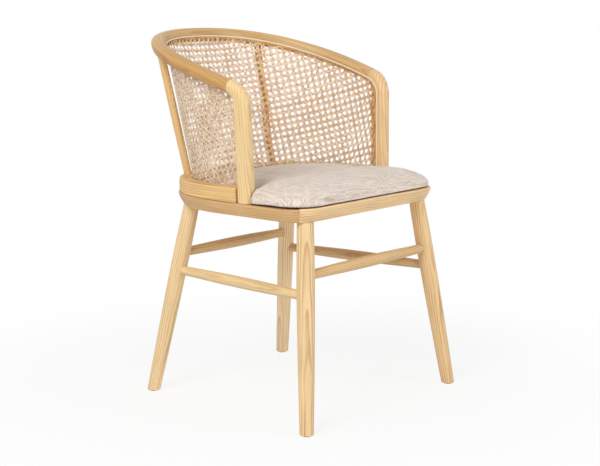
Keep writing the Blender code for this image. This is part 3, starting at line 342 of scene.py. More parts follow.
def long_axis(node):
    """Centre and long direction of a straight CAD node."""
    points = np.array([vertex.co for vertex in nodes[node].data.vertices])
    centre = points.mean(axis=0)
    _, _, rows = np.linalg.svd(points - centre, full_matrices=False)
    axis = rows[0] if rows[0][2] > 0 or abs(rows[0][2]) < 0.5 else -rows[0]
    return Vector(centre), Vector(axis)


def dress(node, finish):
    """Give a CAD node its finish."""
    slots = nodes[node].material_slots
    for slot in slots:
        slot.material = finish
    if not slots:
        nodes[node].data.materials.append(finish)


def dress_ash(node, grain, seed, **look):
    """Give a CAD node an ash finish of its own."""
    dress(node, ash_finish(node + "_finish", grain, seed, **look))


def dress_straight(node, seed, roll=0.0, **look):
    """Give a straight CAD node its ash finish, with the grain along it."""
    centre, axis = long_axis(node)
    dress_ash(node, partial(straight_grain, centre=centre, axis=axis, roll=roll), seed, **look)


# The leg colours differ a little; the rear left leg's is paler as painted light, to make up for the seat's
# shade on it.
dress_straight("leg_front_right", seed=3.1, roll=0.86, heart=0.050, side=0.004, tilt=0.040,
               spacing=0.0052, light=(233, 201, 150), dark=(180, 130, 88), ring_share=0.85)
dress_straight("leg_front_left", seed=7.7, roll=0.5, heart=0.060, side=0.020, tilt=0.03,
               spacing=0.0056, light=(237, 201, 148), dark=(190, 142, 94), ring_share=0.80)
dress_straight("leg_rear_right", seed=12.4, roll=-0.4, heart=0.090, side=0.010, tilt=0.015,
               spacing=0.0050, light=(240, 209, 158), dark=(190, 142, 94))
dress_straight("leg_rear_left", seed=17.9, roll=0.9, heart=0.050, side=-0.030, tilt=0.02,
               spacing=0.0046, light=(255, 228, 182), dark=(200, 146, 104), ring_share=0.80)

# The stretchers. Four turned ash rods between the legs, thicker in the middle.
# They are glued into the legs, and their grain is finer than that of the legs.

STRETCHER_TILT = 0.012

for node, seed, heart, side, light, dark in (
        ("stretcher_front", 21.3, 0.045, 0.01, (226, 191, 137), (178, 130, 82)),
        ("stretcher_rear", 25.8, 0.055, -0.02, (226, 191, 138), (178, 130, 84)),
        ("stretcher_left", 31.2, 0.060, 0.01, (226, 191, 138), (178, 130, 84))):
    dress_straight(node, seed, heart=heart, side=side, tilt=STRETCHER_TILT, spacing=0.0040,
                   light=light, dark=dark, ring_share=0.75)
dress_straight("stretcher_right", seed=36.6, heart=0.040, side=0.02, tilt=STRETCHER_TILT,
               spacing=0.0042, light=(232, 202, 150), dark=(186, 138, 90), ring_share=0.60)

# The seat ring. One rail bent round the back and both sides, with its grain following
# the bend, and a straight front rail glued across its ends at the two front corners.

SEAT_MIDDLE = (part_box("glide_front_left")[0][1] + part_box("glide_rear_left")[1][1]) / 2
RING_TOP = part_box("seat_rail_bent")[1][2]
RING_HALF_WIDTH = 0.2370
RING_SHOULDER = 0.0100
RING_BACK = 0.2345
RING_SQUARENESS = 2.45
FRONT_RAIL_CENTRE = (0.0, -0.2, 0.42)
# The wood along the joint on top of the ring gets a thin painted shadow line.
JOINT_SHADE_HALF = 0.0011
JOINT_SHADE_SHARE = 0.75
JOINT_SHADE_COLOUR = (112, 76, 42)


def make_bent_grain():
    """Grain vector of a piece bent round the chair: X runs round it, Y outward, Z up.

    Its lines follow a superellipse round the back and run straight along both arms.
    """
    group, given, result = node_group(
        "bent_grain",
        {"Place": ORIGIN, "Half Width": 0.24, "Shoulder": 0.0, "Depth": 0.24, "Squareness": 2.4,
         "Slope": 0.0}, {"Grain": VECTOR})
    calc = partial(math_node, group)
    half, power = given["Half Width"], given["Squareness"]
    x, y, z = split(group, given["Place"])
    past = calc("SUBTRACT", y, given["Shoulder"])
    back = calc("DIVIDE", calc("MAXIMUM", past, 0.0), given["Depth"])
    aside = calc("DIVIDE", calc("ABSOLUTE", x), half)
    reach = calc("ADD", calc("POWER", back, power), calc("POWER", aside, power))
    reach = calc("POWER", reach, calc("DIVIDE", 1.0, power))
    forward = calc("MAXIMUM", calc("MULTIPLY", past, -1.0), 0.0)
    along = calc("MULTIPLY_ADD", calc("ARCTAN2", aside, back), half, forward)
    round_chair = calc("MULTIPLY", along, calc("SIGN", x))
    outward = calc("MULTIPLY", calc("SUBTRACT", reach, 1.0), half)
    level = calc("SUBTRACT", z, calc("MULTIPLY", y, given["Slope"]))
    feed(group, result["Grain"], joined(group, round_chair, outward, level))
    return group


bent_grain = make_bent_grain()


def bent(half_width, shoulder, back, squareness, slope=0.0):
    """A maker of grain vectors for one bent piece, from its plan sizes."""
    def vector(tree):
        sizes = {"Place": object_place(tree), "Half Width": half_width, "Shoulder": shoulder + SEAT_MIDDLE,
                 "Depth": back - shoulder, "Squareness": squareness, "Slope": slope}
        return placed(tree, bent_grain, sizes)["Grain"]
    return vector


def make_joint_shade_line():
    """How near a point lies to the glued joint between the ring and what stands on it, for a painted shadow
    line.
    """
    group, given, result = node_group(
        "joint_shade_line", {"Place": ORIGIN, "Joint Height": 0.0, "Half Width": JOINT_SHADE_HALF}, {"Line": FLOAT})
    height = split(group, given["Place"])[2]
    away = math_node(group, "ABSOLUTE", math_node(group, "SUBTRACT", height, given["Joint Height"]))
    deep = math_node(group, "MULTIPLY", given["Half Width"], 0.5)
    line = ramp(group, away, deep, given["Half Width"], bottom=JOINT_SHADE_SHARE, top=0.0)
    feed(group, result["Line"], line)
    return group


joint_shade_line = make_joint_shade_line()


def painted_shade_at_joint(tree, colour):
    """Paints a thin shadow line on the wood beside the glued joint on top of the ring."""
    near = placed(tree, joint_shade_line, {"Place": object_place(tree), "Joint Height": RING_TOP})
    return blend(tree, near["Line"], colour, srgb(*JOINT_SHADE_COLOUR))


ring_bend = bent(RING_HALF_WIDTH, RING_SHOULDER, RING_BACK, RING_SQUARENESS)
front_rail_grain = partial(straight_grain, centre=FRONT_RAIL_CENTRE, axis=(1, 0, 0))
dress_ash("seat_rail_bent", ring_bend, seed=41.5, spacing=0.0052, heart=0.02, side=-0.36, tilt=0.01,
          light=(218, 176, 120), dark=(172, 122, 68), ring_share=0.85, extra=(painted_shade_at_joint,))
dress_ash("seat_rail_front", front_rail_grain, seed=46.2, spacing=0.0056, heart=0.02, side=-0.36,
          tilt=0.01, light=(242, 207, 156))

# The tub frame. The back sill and the crest rail are bent from ash, and each arm post
# is cut from one board with its rounded corner. Two slim uprights stand behind the cane.

CREST_HALF_WIDTH = 0.238
CREST_BACK = 0.2987
CREST_SHOULDER = 0.0424
CREST_SQUARENESS = 2.352
CREST_SLOPE = 0.275
CREVICE_SAMPLES = 6
WEB_SHADE_REACH = 0.007
WEB_SHADE_COLOUR = (140, 94, 52)
TOWARD_RIGHT_ARM = (-1.0, -0.6, 0.0)
RIGHT_ARM_SHADE_REACH = (0.02, 0.20)
RIGHT_ARM_SHADE_TINT = (241, 230, 205)


def make_painted_crevice_shade():
    """A mask for painted shade: 1 in a corner or behind the web, 0 where the surface lies open for the
    reach.
    """
    group, given, result = node_group(
        "painted_crevice_shade", {"Reach": 0.01, "Open Share": 0.8, "Deep Share": 0.3}, {"Mask": FLOAT})
    near = new_node(group, "ShaderNodeAmbientOcclusion", {"Distance": given["Reach"]},
                    samples=CREVICE_SAMPLES)
    mask = ramp(group, near.outputs["AO"], given["Deep Share"], given["Open Share"], bottom=1.0, top=0.0)
    feed(group, result["Mask"], mask)
    return group


painted_crevice_shade = make_painted_crevice_shade()


def with_painted_shade(tree, colour, shade, reach, open_share, deep_share):
    """A colour that turns to a painted shade in corners and crevices."""
    deep = placed(tree, painted_crevice_shade, {"Reach": reach, "Open Share": open_share, "Deep Share": deep_share})
    return blend(tree, deep["Mask"], colour, srgb(*shade))


def painted_shade_behind_web(tree, colour):
    """Paints shade on wood that the web lies on, so that its holes look into a brown shade."""
    return with_painted_shade(tree, colour, WEB_SHADE_COLOUR, WEB_SHADE_REACH, open_share=0.78, deep_share=0.30)


def painted_shade_toward_right_arm(tree, colour):
    """Deepens the rail's tone towards its right arm: painted shade that makes the near arm darker and more
    golden.
    """
    toward_arm = new_node(tree, "ShaderNodeVectorMath", {0: object_place(tree), 1: TOWARD_RIGHT_ARM},
                          operation="DOT_PRODUCT").outputs["Value"]
    share = ramp(tree, toward_arm, *RIGHT_ARM_SHADE_REACH)
    return blend(tree, share, colour, srgb(*RIGHT_ARM_SHADE_TINT), "MULTIPLY")


crest_bend = bent(CREST_HALF_WIDTH, CREST_SHOULDER, CREST_BACK, CREST_SQUARENESS, CREST_SLOPE)
dress_ash("back_sill", ring_bend, seed=51.4, spacing=0.0056, heart=0.015, side=-0.42, tilt=0.01,
          light=(227, 187, 125), dark=(186, 138, 82), ring_share=0.8, extra=(painted_shade_at_joint,))
# The crest rail has painted shade towards its right arm and behind the web.
dress_ash("crest_rail", crest_bend, seed=55.9, spacing=0.0048, heart=0.03, side=-0.70, tilt=0.008,
          light=(208, 168, 113), dark=(164, 120, 72), extra=(painted_shade_toward_right_arm, painted_shade_behind_web))
for post, seed, light in (("arm_post_right", 61.7, (234, 203, 148)),
                          ("arm_post_left", 66.1, (228, 192, 142))):
    dress_straight(post, seed, heart=0.060, side=0.004, tilt=0.01, spacing=0.0062, light=light)
for upright, seed in (("upright_left", 71.8), ("upright_right", 76.4)):
    dress_straight(upright, seed, heart=0.05, spacing=0.0044, light=(228, 190, 130))

# The cane webbing. Split cane is woven in pairs up and across with two slanting sets,
# which leaves eight-sided holes. The flat web is wrapped round the tub, and its edges
# are pressed into grooves. It is woven flat here and then laid on the tub's surface.

CREST_FRONT = -0.0491
CREST_TOE_IN = 0.0123
CREST_BACK_HEIGHT = 0.7565
CREST_FALL = 0.0958
CREST_FALL_SHARES = (0.846, 0.154)
CREST_END = 0.9417
SILL_HALF_WIDTH = 0.2210
SILL_BACK = 0.2185
SILL_SHOULDER = 0.0100
SILL_FRONT = -0.0363
SILL_SQUARENESS = 2.45
SILL_MIDDLE = 0.45355
RULING_SHARE = 0.9777
FRAME_HALF = 0.0148
CANE_HALF = 0.0008
GROOVE_HEIGHT = 0.4568
SILL_EDGE_HEIGHT = 0.4643
CREST_DEPTH = 0.0310
CREST_DEPTH_LOSS = 0.0045
CREST_LAP = 0.0050
CREST_GROOVE = 0.0078
CORNER_RADIUS = 0.040
GROOVE_DROPS = (0.0078, 0.0003)
POST_FOOT = Vector((0.2213, -0.0543, 0.4388))
CURVE_STEPS = 240
SHARE_STEP = 0.00625
SETBACK_ROUNDS = 30
CORNER_BEND_SHARE = 0.9
BACK_COLUMNS = 121
BACK_COLUMNS_SHARE = 0.985
CORNER_COLUMNS = 12


def tub_half(half_width, back, shoulder, front, squareness, toe_in=0.0):
    """Points and lengths of half a tub curve, from the centre of the back to the arm."""
    turn = np.linspace(0, math.pi / 2, CURVE_STEPS + 1)
    x = half_width * np.sin(turn) ** (2 / squareness)
    y = shoulder + (back - shoulder) * np.clip(np.cos(turn), 0, 1) ** (2 / squareness)
    share = np.linspace(0, 1, CURVE_STEPS + 1)[1:]
    x = np.concatenate((x, half_width - toe_in * share ** 2))
    y = np.concatenate((y, shoulder + (front - shoulder) * share))
    lengths = np.concatenate(([0.0], np.cumsum(np.hypot(np.diff(x), np.diff(y)))))
    return x, y, lengths


crest_half = tub_half(CREST_HALF_WIDTH, CREST_BACK, CREST_SHOULDER, CREST_FRONT, CREST_SQUARENESS,
                      CREST_TOE_IN)
sill_half = tub_half(SILL_HALF_WIDTH, SILL_BACK, SILL_SHOULDER, SILL_FRONT, SILL_SQUARENESS)


def on_curve(half, share):
    """Place on a tub curve: 0 is the centre of the back, and 1 and -1 are its two ends."""
    x, y, lengths = half
    length = abs(share) * lengths[-1]
    across = float(np.interp(length, lengths, x))
    if share:
        across = math.copysign(across, share)
    return Vector((across, float(np.interp(length, lengths, y)), 0))


def crest_at(share):
    """Place on the middle of the crest rail, which falls towards the arms."""
    point = on_curve(crest_half, share)
    fall = (CREST_BACK - point.y) / (CREST_BACK - CREST_FRONT)
    early, late = CREST_FALL_SHARES
    point.z = CREST_BACK_HEIGHT - CREST_FALL * (early * fall + late * fall ** 2)
    return point


def sill_at(share):
    """Place on the middle of the sill, seen from above."""
    return on_curve(sill_half, share)


def direction(place, share):
    """Which way the rail or the sill runs at a share of its length."""
    return (place(min(share + SHARE_STEP, 1.0)) - place(max(share - SHARE_STEP, -1.0))).normalized()


def cane_column(share):
    """Four points of the web's middle, from the sill's groove to the rail's groove."""
    sill_share = share / CREST_END * RULING_SHARE
    foot = sill_at(sill_share)
    along = direction(sill_at, sill_share)
    outward = Vector((-along.y, along.x, 0))
    face = foot - outward * (FRAME_HALF + CANE_HALF)
    head = crest_at(share)
    along = direction(crest_at, share)
    rise = head - Vector((foot.x, foot.y, SILL_MIDDLE))
    edgeward = (rise - along * rise.dot(along)).normalized()
    outward = edgeward.cross(along)
    depth = CREST_DEPTH - CREST_DEPTH_LOSS * min(abs(share) / CREST_END, 1.0) ** 2
    top = head - outward * (FRAME_HALF + CANE_HALF)
    return [face + Vector((0, 0, GROOVE_HEIGHT)), face + Vector((0, 0, SILL_EDGE_HEIGHT)),
            top + edgeward * (CREST_LAP - depth / 2), top - edgeward * CREST_GROOVE]


def corner_columns():
    """Columns under the rounded left arm corner, where the web runs on to the post."""
    start = crest_at(CREST_END)
    leaving = direction(crest_at, CREST_END)
    setback = CORNER_RADIUS
    for _ in range(SETBACK_ROUNDS):
        corner = start + leaving * setback
        down = (POST_FOOT - corner).normalized()
        setback = CORNER_RADIUS * math.tan(leaving.angle(down) / 2)
    axis = leaving.cross(down).normalized()
    inward = axis.cross(leaving)
    centre = start + inward * CORNER_RADIUS
    widest = SILL_HALF_WIDTH - FRAME_HALF - CANE_HALF
    made = []
    for step in range(1, CORNER_COLUMNS + 1):
        share = step / CORNER_COLUMNS
        turned = Matrix.Rotation(leaving.angle(down) * share, 3, axis)
        edgeward = turned @ -inward
        outward = edgeward.cross(turned @ leaving)
        drop = GROOVE_DROPS[0] + (GROOVE_DROPS[1] - GROOVE_DROPS[0]) * share
        top = centre + edgeward * (CORNER_RADIUS - drop) - outward * (FRAME_HALF + CANE_HALF)
        low = top + down * ((GROOVE_HEIGHT - top.z) / down.z)
        edge = top + down * ((SILL_EDGE_HEIGHT - top.z) / down.z)
        low.x, edge.x = min(low.x, widest), min(edge.x, widest)
        made.append([low, edge, edge.lerp(top, CORNER_BEND_SHARE), top])
    return made


def flipped(points):
    """The same points on the other side of the chair."""
    return [Vector((-point.x, point.y, point.z)) for point in points]


last_share = CREST_END * BACK_COLUMNS_SHARE
back_columns = [cane_column(share) for share in np.linspace(-last_share, last_share, BACK_COLUMNS)]
arm_columns = corner_columns()
columns = [flipped(points) for points in arm_columns[::-1]] + back_columns + arm_columns


def flat_place(low_flat, high_flat, to_low, to_high):
    """Flat place of a point from its distances to the two ends of the column before it."""
    span = high_flat - low_flat
    reach = span.length
    along = (to_low ** 2 - to_high ** 2 + reach ** 2) / (2 * reach)
    aside = math.sqrt(max(to_low ** 2 - along ** 2, 0.0))
    unit = span / reach
    return low_flat + unit * along + Vector((unit.y, -unit.x)) * aside


def column_lengths(points):
    """How far up a column each of its points lies."""
    steps = [(b - a).length for a, b in zip(points, points[1:])]
    return np.concatenate(([0.0], np.cumsum(steps)))


def unrolled():
    """Flat places of each column's two ends, walking from the centre of the back."""
    middle = len(columns) // 2
    flat = {middle: (Vector((0, 0)), Vector((0, float(column_lengths(columns[middle])[-1]))))}
    for index in range(middle, len(columns) - 1):
        here, after = columns[index], columns[index + 1]
        low, high = flat[index]
        flat[index + 1] = tuple(
            flat_place(low, high, (after[end] - here[0]).length, (after[end] - here[-1]).length)
            for end in (0, -1))
    for index in range(middle + 1, len(columns)):
        low, high = flat[index]
        flat[2 * middle - index] = (Vector((-low.x, low.y)), Vector((-high.x, high.y)))
    return [flat[index] for index in range(len(columns))]


WEB_SPAN = 1.2
FLAT_MIDDLE = (0.5, 0.3)
ROWS_UP = 24


def make_web_surface():
    """The tub's surface under the web; its UV map is the flat web, WEB_SPAN metres to 1."""
    mesh = bpy.data.meshes.new("web_surface")
    places, flats = [], []
    for points, (low, high) in zip(columns, unrolled()):
        lengths = column_lengths(points)
        for step in range(ROWS_UP + 1):
            length = lengths[-1] * step / ROWS_UP
            places.append([float(np.interp(length, lengths, [p[k] for p in points])) for k in range(3)])
            flats.append(low.lerp(high, step / ROWS_UP) / WEB_SPAN + Vector(FLAT_MIDDLE))
    row = ROWS_UP + 1
    starts = [index * row + step for index in range(len(columns) - 1) for step in range(ROWS_UP)]
    faces = [(first, first + row, first + row + 1, first + 1) for first in starts]
    mesh.from_pydata([(x, y + SEAT_MIDDLE, z) for x, y, z in places], [], faces)
    layer = mesh.uv_layers.new(name="flat_web")
    for loop in mesh.loops:
        layer.data[loop.index].uv = flats[loop.vertex_index]
    mesh.shade_smooth()
    return mesh


web_surface = put_in_scene("web_surface", make_web_surface())

CANE_PITCH = 0.0138
CANE_STRETCH_ACROSS = 1.020
CANE_STRETCH_UP = 0.984
CANE_WIDTH = 0.00242
CANE_THICKNESS = 0.0006
PAIR_HALF = 0.00135
PAIR_LIFT = 0.0004
SLANT_LIFT = 0.0007
SLANT_PITCH_SHARE = math.sqrt(0.5)
WEB_MIDDLE = (0.0, 0.150, 0.0)
SLANT_TURN = math.pi / 4
GEOMETRY = "NodeSocketGeometry"


def make_strand_set():
    """One set of parallel strands, woven flat: each rises and dips as it passes the others.

    A strand runs for a number of waves, and has its top or bottom half way between two
    neighbours of the sets that it crosses. Its dips are kept as an attribute for the finish's painted
    shade.
    """
    group, given, result = node_group(
        "strand_set",
        {"Count": 10, "Pitch": CANE_PITCH, "Waves": 40, "Shift": 0.0, "Turn": 0.0, "Lift": PAIR_LIFT,
         "Width": CANE_WIDTH, "Thickness": CANE_THICKNESS, "Middle": ORIGIN, "Seed": 0},
        {"Geometry": GEOMETRY}, "GeometryNodeTree")
    make, calc, pitch = partial(new_node, group), partial(math_node, group), given["Pitch"]
    half = calc("MULTIPLY", calc("MULTIPLY", given["Waves"], pitch), 0.5)
    line = make("GeometryNodeCurvePrimitiveLine", {
        "Start": joined(group, y=calc("MULTIPLY", half, -1.0)), "End": joined(group, y=half)})
    fine = make("GeometryNodeResampleCurve", {
        "Curve": line.outputs[0], "Count": calc("MULTIPLY_ADD", given["Waves"], 2.0, 1.0)})
    span = calc("MULTIPLY", calc("SUBTRACT", given["Count"], 1.0), pitch)
    leftmost = calc("ADD", calc("MULTIPLY", span, -0.5), given["Shift"])
    row = make("GeometryNodeMeshLine", {
        "Count": given["Count"], "Offset": joined(group, pitch), "Start Location": joined(group, leftmost)})
    copies = make("GeometryNodeInstanceOnPoints", {"Points": row.outputs[0], "Instance": fine.outputs[0]})
    chance = make("FunctionNodeRandomValue", {"Seed": given["Seed"]}, data_type="FLOAT")
    tone = make("GeometryNodeStoreNamedAttribute", {
        "Geometry": copies.outputs[0], "Name": "strand_tone", "Value": chance.outputs[1]},
        data_type="FLOAT", domain="INSTANCE")
    real = make("GeometryNodeRealizeInstances", {0: tone.outputs[0]})
    x, y, _ = split(group, make("GeometryNodeInputPosition").outputs[0])
    number = calc("FLOOR", calc("DIVIDE", x, pitch))
    waves = calc("SUBTRACT", calc("DIVIDE", y, pitch), 0.5)
    rise = calc("COSINE", calc("MULTIPLY", calc("ADD", waves, number), math.pi))
    dip = make("GeometryNodeStoreNamedAttribute", {
        "Geometry": real.outputs[0], "Name": "strand_dip", "Value": calc("MULTIPLY_ADD", rise, -0.5, 0.5)},
        data_type="FLOAT", domain="POINT")
    woven = make("GeometryNodeSetPosition", {
        "Geometry": dip.outputs[0], "Offset": joined(group, z=calc("MULTIPLY", rise, given["Lift"]))})
    level = make("GeometryNodeSetCurveNormal", {0: woven.outputs[0]}, mode="Z_UP")
    section = make("GeometryNodeCurvePrimitiveQuadrilateral", {
        "Width": given["Width"], "Height": given["Thickness"]})
    band = make("GeometryNodeCurveToMesh", {
        "Curve": level.outputs[0], "Profile Curve": section.outputs[0], "Fill Caps": True})
    turned = make("GeometryNodeTransform", {
        "Geometry": band.outputs[0], "Rotation": joined(group, z=given["Turn"]),
        "Translation": given["Middle"]})
    feed(group, result[0], turned.outputs[0])
    return group


strand_set = make_strand_set()


def make_weave(name, sets):
    """Lays several strand sets on the tub: flat places are looked up in its UV map."""
    group, given, result = node_group(
        name,
        {"Surface": GEOMETRY, "Pitch": CANE_PITCH, "Strand Width": CANE_WIDTH,
         "Thickness": CANE_THICKNESS, "Stretch Across": 1.0, "Stretch Up": 1.0, "Web Span": WEB_SPAN,
         "Finish": "NodeSocketMaterial"},
        {"Geometry": GEOMETRY}, "GeometryNodeTree")
    make, calc, span = partial(new_node, group), partial(math_node, group), given["Web Span"]
    together = make("GeometryNodeJoinGeometry")
    for pitch_share, values in sets:
        sizes = {"Pitch": calc("MULTIPLY", given["Pitch"], pitch_share), "Width": given["Strand Width"],
                 "Thickness": given["Thickness"]}
        strands = make("GeometryNodeGroup", {**values, **sizes}, node_tree=strand_set)
        group.links.new(strands.outputs[0], together.inputs[0])
    place = make("GeometryNodeInputPosition").outputs[0]
    web_size = joined(group, calc("DIVIDE", span, given["Stretch Across"]),
                      calc("DIVIDE", span, given["Stretch Up"]), span)
    flat = make("ShaderNodeVectorMath", {0: place, 1: web_size}, operation="DIVIDE")
    shifted = make("ShaderNodeVectorMath", {0: flat.outputs[0], 1: (*FLAT_MIDDLE, 0.0)}, operation="ADD")
    flat_map = make("GeometryNodeInputNamedAttribute", {"Name": "flat_web"}, data_type="FLOAT_VECTOR")
    found_place, found_normal = (
        make("GeometryNodeSampleUVSurface", {
            "Mesh": given["Surface"], "Value": make(field).outputs[0], "UV Map": flat_map.outputs[0],
            "Sample UV": shifted.outputs[0]}, data_type="FLOAT_VECTOR").outputs
        for field in ("GeometryNodeInputPosition", "GeometryNodeInputNormal"))
    outside = make("FunctionNodeBooleanMath", {0: found_place["Is Valid"]}, operation="NOT")
    kept = make("GeometryNodeDeleteGeometry", {
        "Geometry": together.outputs[0], "Selection": outside.outputs[0]}, domain="POINT")
    lift = make("ShaderNodeVectorMath", {0: found_normal["Value"], "Scale": split(group, place)[2]},
                operation="SCALE")
    where = make("ShaderNodeVectorMath", {0: found_place["Value"], 1: lift.outputs[0]}, operation="ADD")
    laid = make("GeometryNodeSetPosition", {"Geometry": kept.outputs[0], "Position": where.outputs[0]})
    real = make("GeometryNodeRealizeInstances", {0: laid.outputs[0]})
    painted = make("GeometryNodeSetMaterial", {"Geometry": real.outputs[0], "Material": given["Finish"]})
    feed(group, result[0], painted.outputs[0])
    return group


def set_input(modifier, group, label, value):
    """Sets a modifier's input by the identifier that its label has."""
    for item in group.interface.items_tree:
        if item.item_type == "SOCKET" and item.in_out == "INPUT" and item.name == label:
            modifier[item.identifier] = value


def make_from_tree(name, base, group, values):
    """Runs a geometry tree on a base object, and keeps the result as a plain mesh."""
    modifier = base.modifiers.new(name, "NODES")
    modifier.node_group = group
    for label, value in values.items():
        set_input(modifier, group, label, value)
    depsgraph = bpy.context.evaluated_depsgraph_get()
    mesh = bpy.data.meshes.new_from_object(base.evaluated_get(depsgraph))
    base.modifiers.remove(modifier)
    mesh.name = name
    return put_in_scene(name, mesh)


STRAND_SHADE_REACH = 0.0017
CANE_SPOT_SCALE = 260.0
CANE_TONE_EDGE = (0.30, 0.66)
CANE_TAN = (222, 187, 153)
CANE_STRAW = (255, 236, 210)
DIP_SHADE_EDGE = (0.45, 1.0)
DIP_SHADE_SHARE = 0.25
DIP_SHADE_COLOUR = (164, 126, 100)
CROSSING_SHADE_COLOUR = (88, 62, 44)
WOOD_BEHIND_SHADE_TINT = (240, 203, 150)


def make_mottle():
    """Soft spots of a given size, for what is never quite one tone."""
    group, given, result = node_group(
        "mottle", {"Place": ORIGIN, "Scale": CANE_SPOT_SCALE}, {"Spots": FLOAT})
    feed(group, result["Spots"], noise(group, given["Place"], scale=given["Scale"]))
    return group


mottle = make_mottle()


def spots(tree, scale):
    """The mottle of a finish, at its own scale."""
    return placed(tree, mottle, {"Place": object_place(tree), "Scale": scale})["Spots"]


def make_cane_finish():
    """Split cane: pale straw, a little different from strand to strand, with a satin skin.

    It has painted shade where a strand dips under others, where strands cross, and where the web lies on
    the wood.
    """
    finish, tree, shader = finish_named("cane_finish", 0.5)
    strand, dip, backed_shade = (new_node(tree, "ShaderNodeAttribute", attribute_name=name).outputs["Fac"]
                           for name in ("strand_tone", "strand_dip", "wood_behind"))
    blotch = spots(tree, CANE_SPOT_SCALE)
    mixed = math_node(tree, "MULTIPLY_ADD", strand, 0.5, math_node(tree, "MULTIPLY", blotch, 0.5))
    colour = blend(tree, ramp(tree, mixed, *CANE_TONE_EDGE), srgb(*CANE_TAN), srgb(*CANE_STRAW))
    colour = blend(tree, ramp(tree, dip, *DIP_SHADE_EDGE, top=DIP_SHADE_SHARE), colour, srgb(*DIP_SHADE_COLOUR))
    # Painted shade where strands cross and tuck under each other.
    colour = with_painted_shade(tree, colour, CROSSING_SHADE_COLOUR, STRAND_SHADE_REACH, open_share=0.82, deep_share=0.34)
    # Painted shade on the strands where wood lies close behind them and holds back the light.
    colour = blend(tree, backed_shade, colour, srgb(*WOOD_BEHIND_SHADE_TINT), "MULTIPLY")
    feed(tree, shader.inputs["Base Color"], colour)
    feed(tree, shader.inputs["Roughness"], math_node(tree, "MULTIPLY_ADD", blotch, 0.3, 0.35))
    return finish


def pair(count, waves, turn, seed):
    """The values of two strand sets that lie side by side."""
    return [(1.0, {"Count": count, "Waves": waves, "Shift": shift, "Turn": turn, "Lift": PAIR_LIFT,
                   "Middle": WEB_MIDDLE, "Seed": seed + side})
            for side, shift in enumerate((-PAIR_HALF, PAIR_HALF))]


slants = [(SLANT_PITCH_SHARE, {"Count": 116, "Waves": 66, "Turn": turn, "Lift": SLANT_LIFT,
                               "Middle": WEB_MIDDLE, "Seed": seed})
          for turn, seed in ((SLANT_TURN, 5), (-SLANT_TURN, 6))]
weaves = (("cane_uprights", pair(count=84, waves=38, turn=0.0, seed=1)),
          ("cane_rows", pair(count=36, waves=84, turn=math.pi / 2, seed=3)), ("cane_slants", slants))
web_values = {"Pitch": CANE_PITCH, "Strand Width": CANE_WIDTH, "Thickness": CANE_THICKNESS,
              "Stretch Across": CANE_STRETCH_ACROSS, "Stretch Up": CANE_STRETCH_UP,
              "Finish": make_cane_finish()}

# The web gets painted shade where wood lies behind it: fully up to the near gap, and none past the far gap.
NEAR_GAP_AT_RAIL = 0.0030
FAR_GAP_AT_RAIL = 0.0050
NEAR_GAP_AT_UPRIGHT = 0.0098
FAR_GAP_AT_UPRIGHT = 0.0140
UPRIGHT_SHADE_SHARE = 0.66


def tree_of_faces(name):
    """A search tree of a CAD node's faces."""
    mesh = nodes[name].data
    return BVHTree.FromPolygons([vertex.co for vertex in mesh.vertices],
                                [face.vertices[:] for face in mesh.polygons])


wood_behind = [(tree_of_faces(name), NEAR_GAP_AT_RAIL, FAR_GAP_AT_RAIL, 1.0)
               for name in ("crest_rail", "arm_post_left", "arm_post_right")]
wood_behind += [(tree_of_faces(name), NEAR_GAP_AT_UPRIGHT, FAR_GAP_AT_UPRIGHT, UPRIGHT_SHADE_SHARE)
                for name in ("upright_left", "upright_right")]


def mark_wood_behind(piece):
    """Keeps on each point how near the web's frame is, for the painted shade: 1 where the wood is close
    behind it.
    """
    marks = piece.data.attributes.new("wood_behind", "FLOAT", "POINT")
    for vertex in piece.data.vertices:
        mark = 0.0
        for faces, near, far, share in wood_behind:
            gap = faces.find_nearest(vertex.co, far)[3]
            if gap is not None:
                mark = max(mark, share * (1 - max(gap - near, 0) / (far - near)))
        marks.data[vertex.index].value = mark


cane_pieces = []
for name, sets in weaves:
    weave = make_weave(name + "_weave", sets)
    holder = put_in_scene(name + "_holder", web_surface.data.copy())
    piece = make_from_tree(name, holder, weave, web_values)
    mark_wood_behind(piece)
    bpy.data.objects.remove(holder, do_unlink=True)
    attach(piece, "root")
    cane_pieces.append(piece)
bpy.data.objects.remove(web_surface, do_unlink=True)
for piece in cane_pieces:
    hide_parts("cane_webbing")

# The reeds. A round reed is driven into the groove round the tub's opening and holds
# the cane there, and another one sits in the sill's groove behind the pad.


def make_wood_streaks():
    """Plain streaks along the grain, for wood and reed without lacquer."""
    group, given, result = node_group(
        "wood_streaks", {"Grain": ORIGIN, "Along": 9.0, "Across": 260.0, "Seed": 0.0, "Detail": 3.0},
        {"Streak": FLOAT})
    drawn_out = scaled(group, given["Grain"], given["Along"], given["Across"], given["Seed"])
    feed(group, result["Streak"], ramp(group, noise(group, drawn_out, given["Detail"]), 0.3, 0.7))
    return group


wood_streaks = make_wood_streaks()


def make_streaky(name, grain, first, second, roughness, streaks):
    """A material that goes from its first colour to its second in streaks along the grain."""
    finish, tree, shader = finish_named(name, roughness)
    share = placed(tree, wood_streaks, {"Grain": grain(tree), **streaks})["Streak"]
    colour = blend(tree, share, srgb(*first), srgb(*second))
    feed(tree, shader.inputs["Base Color"], colour)
    return finish


reed_finish = make_streaky("reed_finish", ring_bend, (248, 222, 184), (255, 240, 212), 0.45,
                           {"Along": 40.0, "Across": 700.0, "Seed": 5.0, "Detail": 2.0})
dress("frame_reed", reed_finish)
dress("sill_reed", reed_finish)

# The pieces out of sight or under the seat. The board is plywood, the corner blocks,
# dowels and tongues are raw ash, the screws that go up through the blocks into the
# board are zinc plated, and the glides nailed under the feet are nylon.

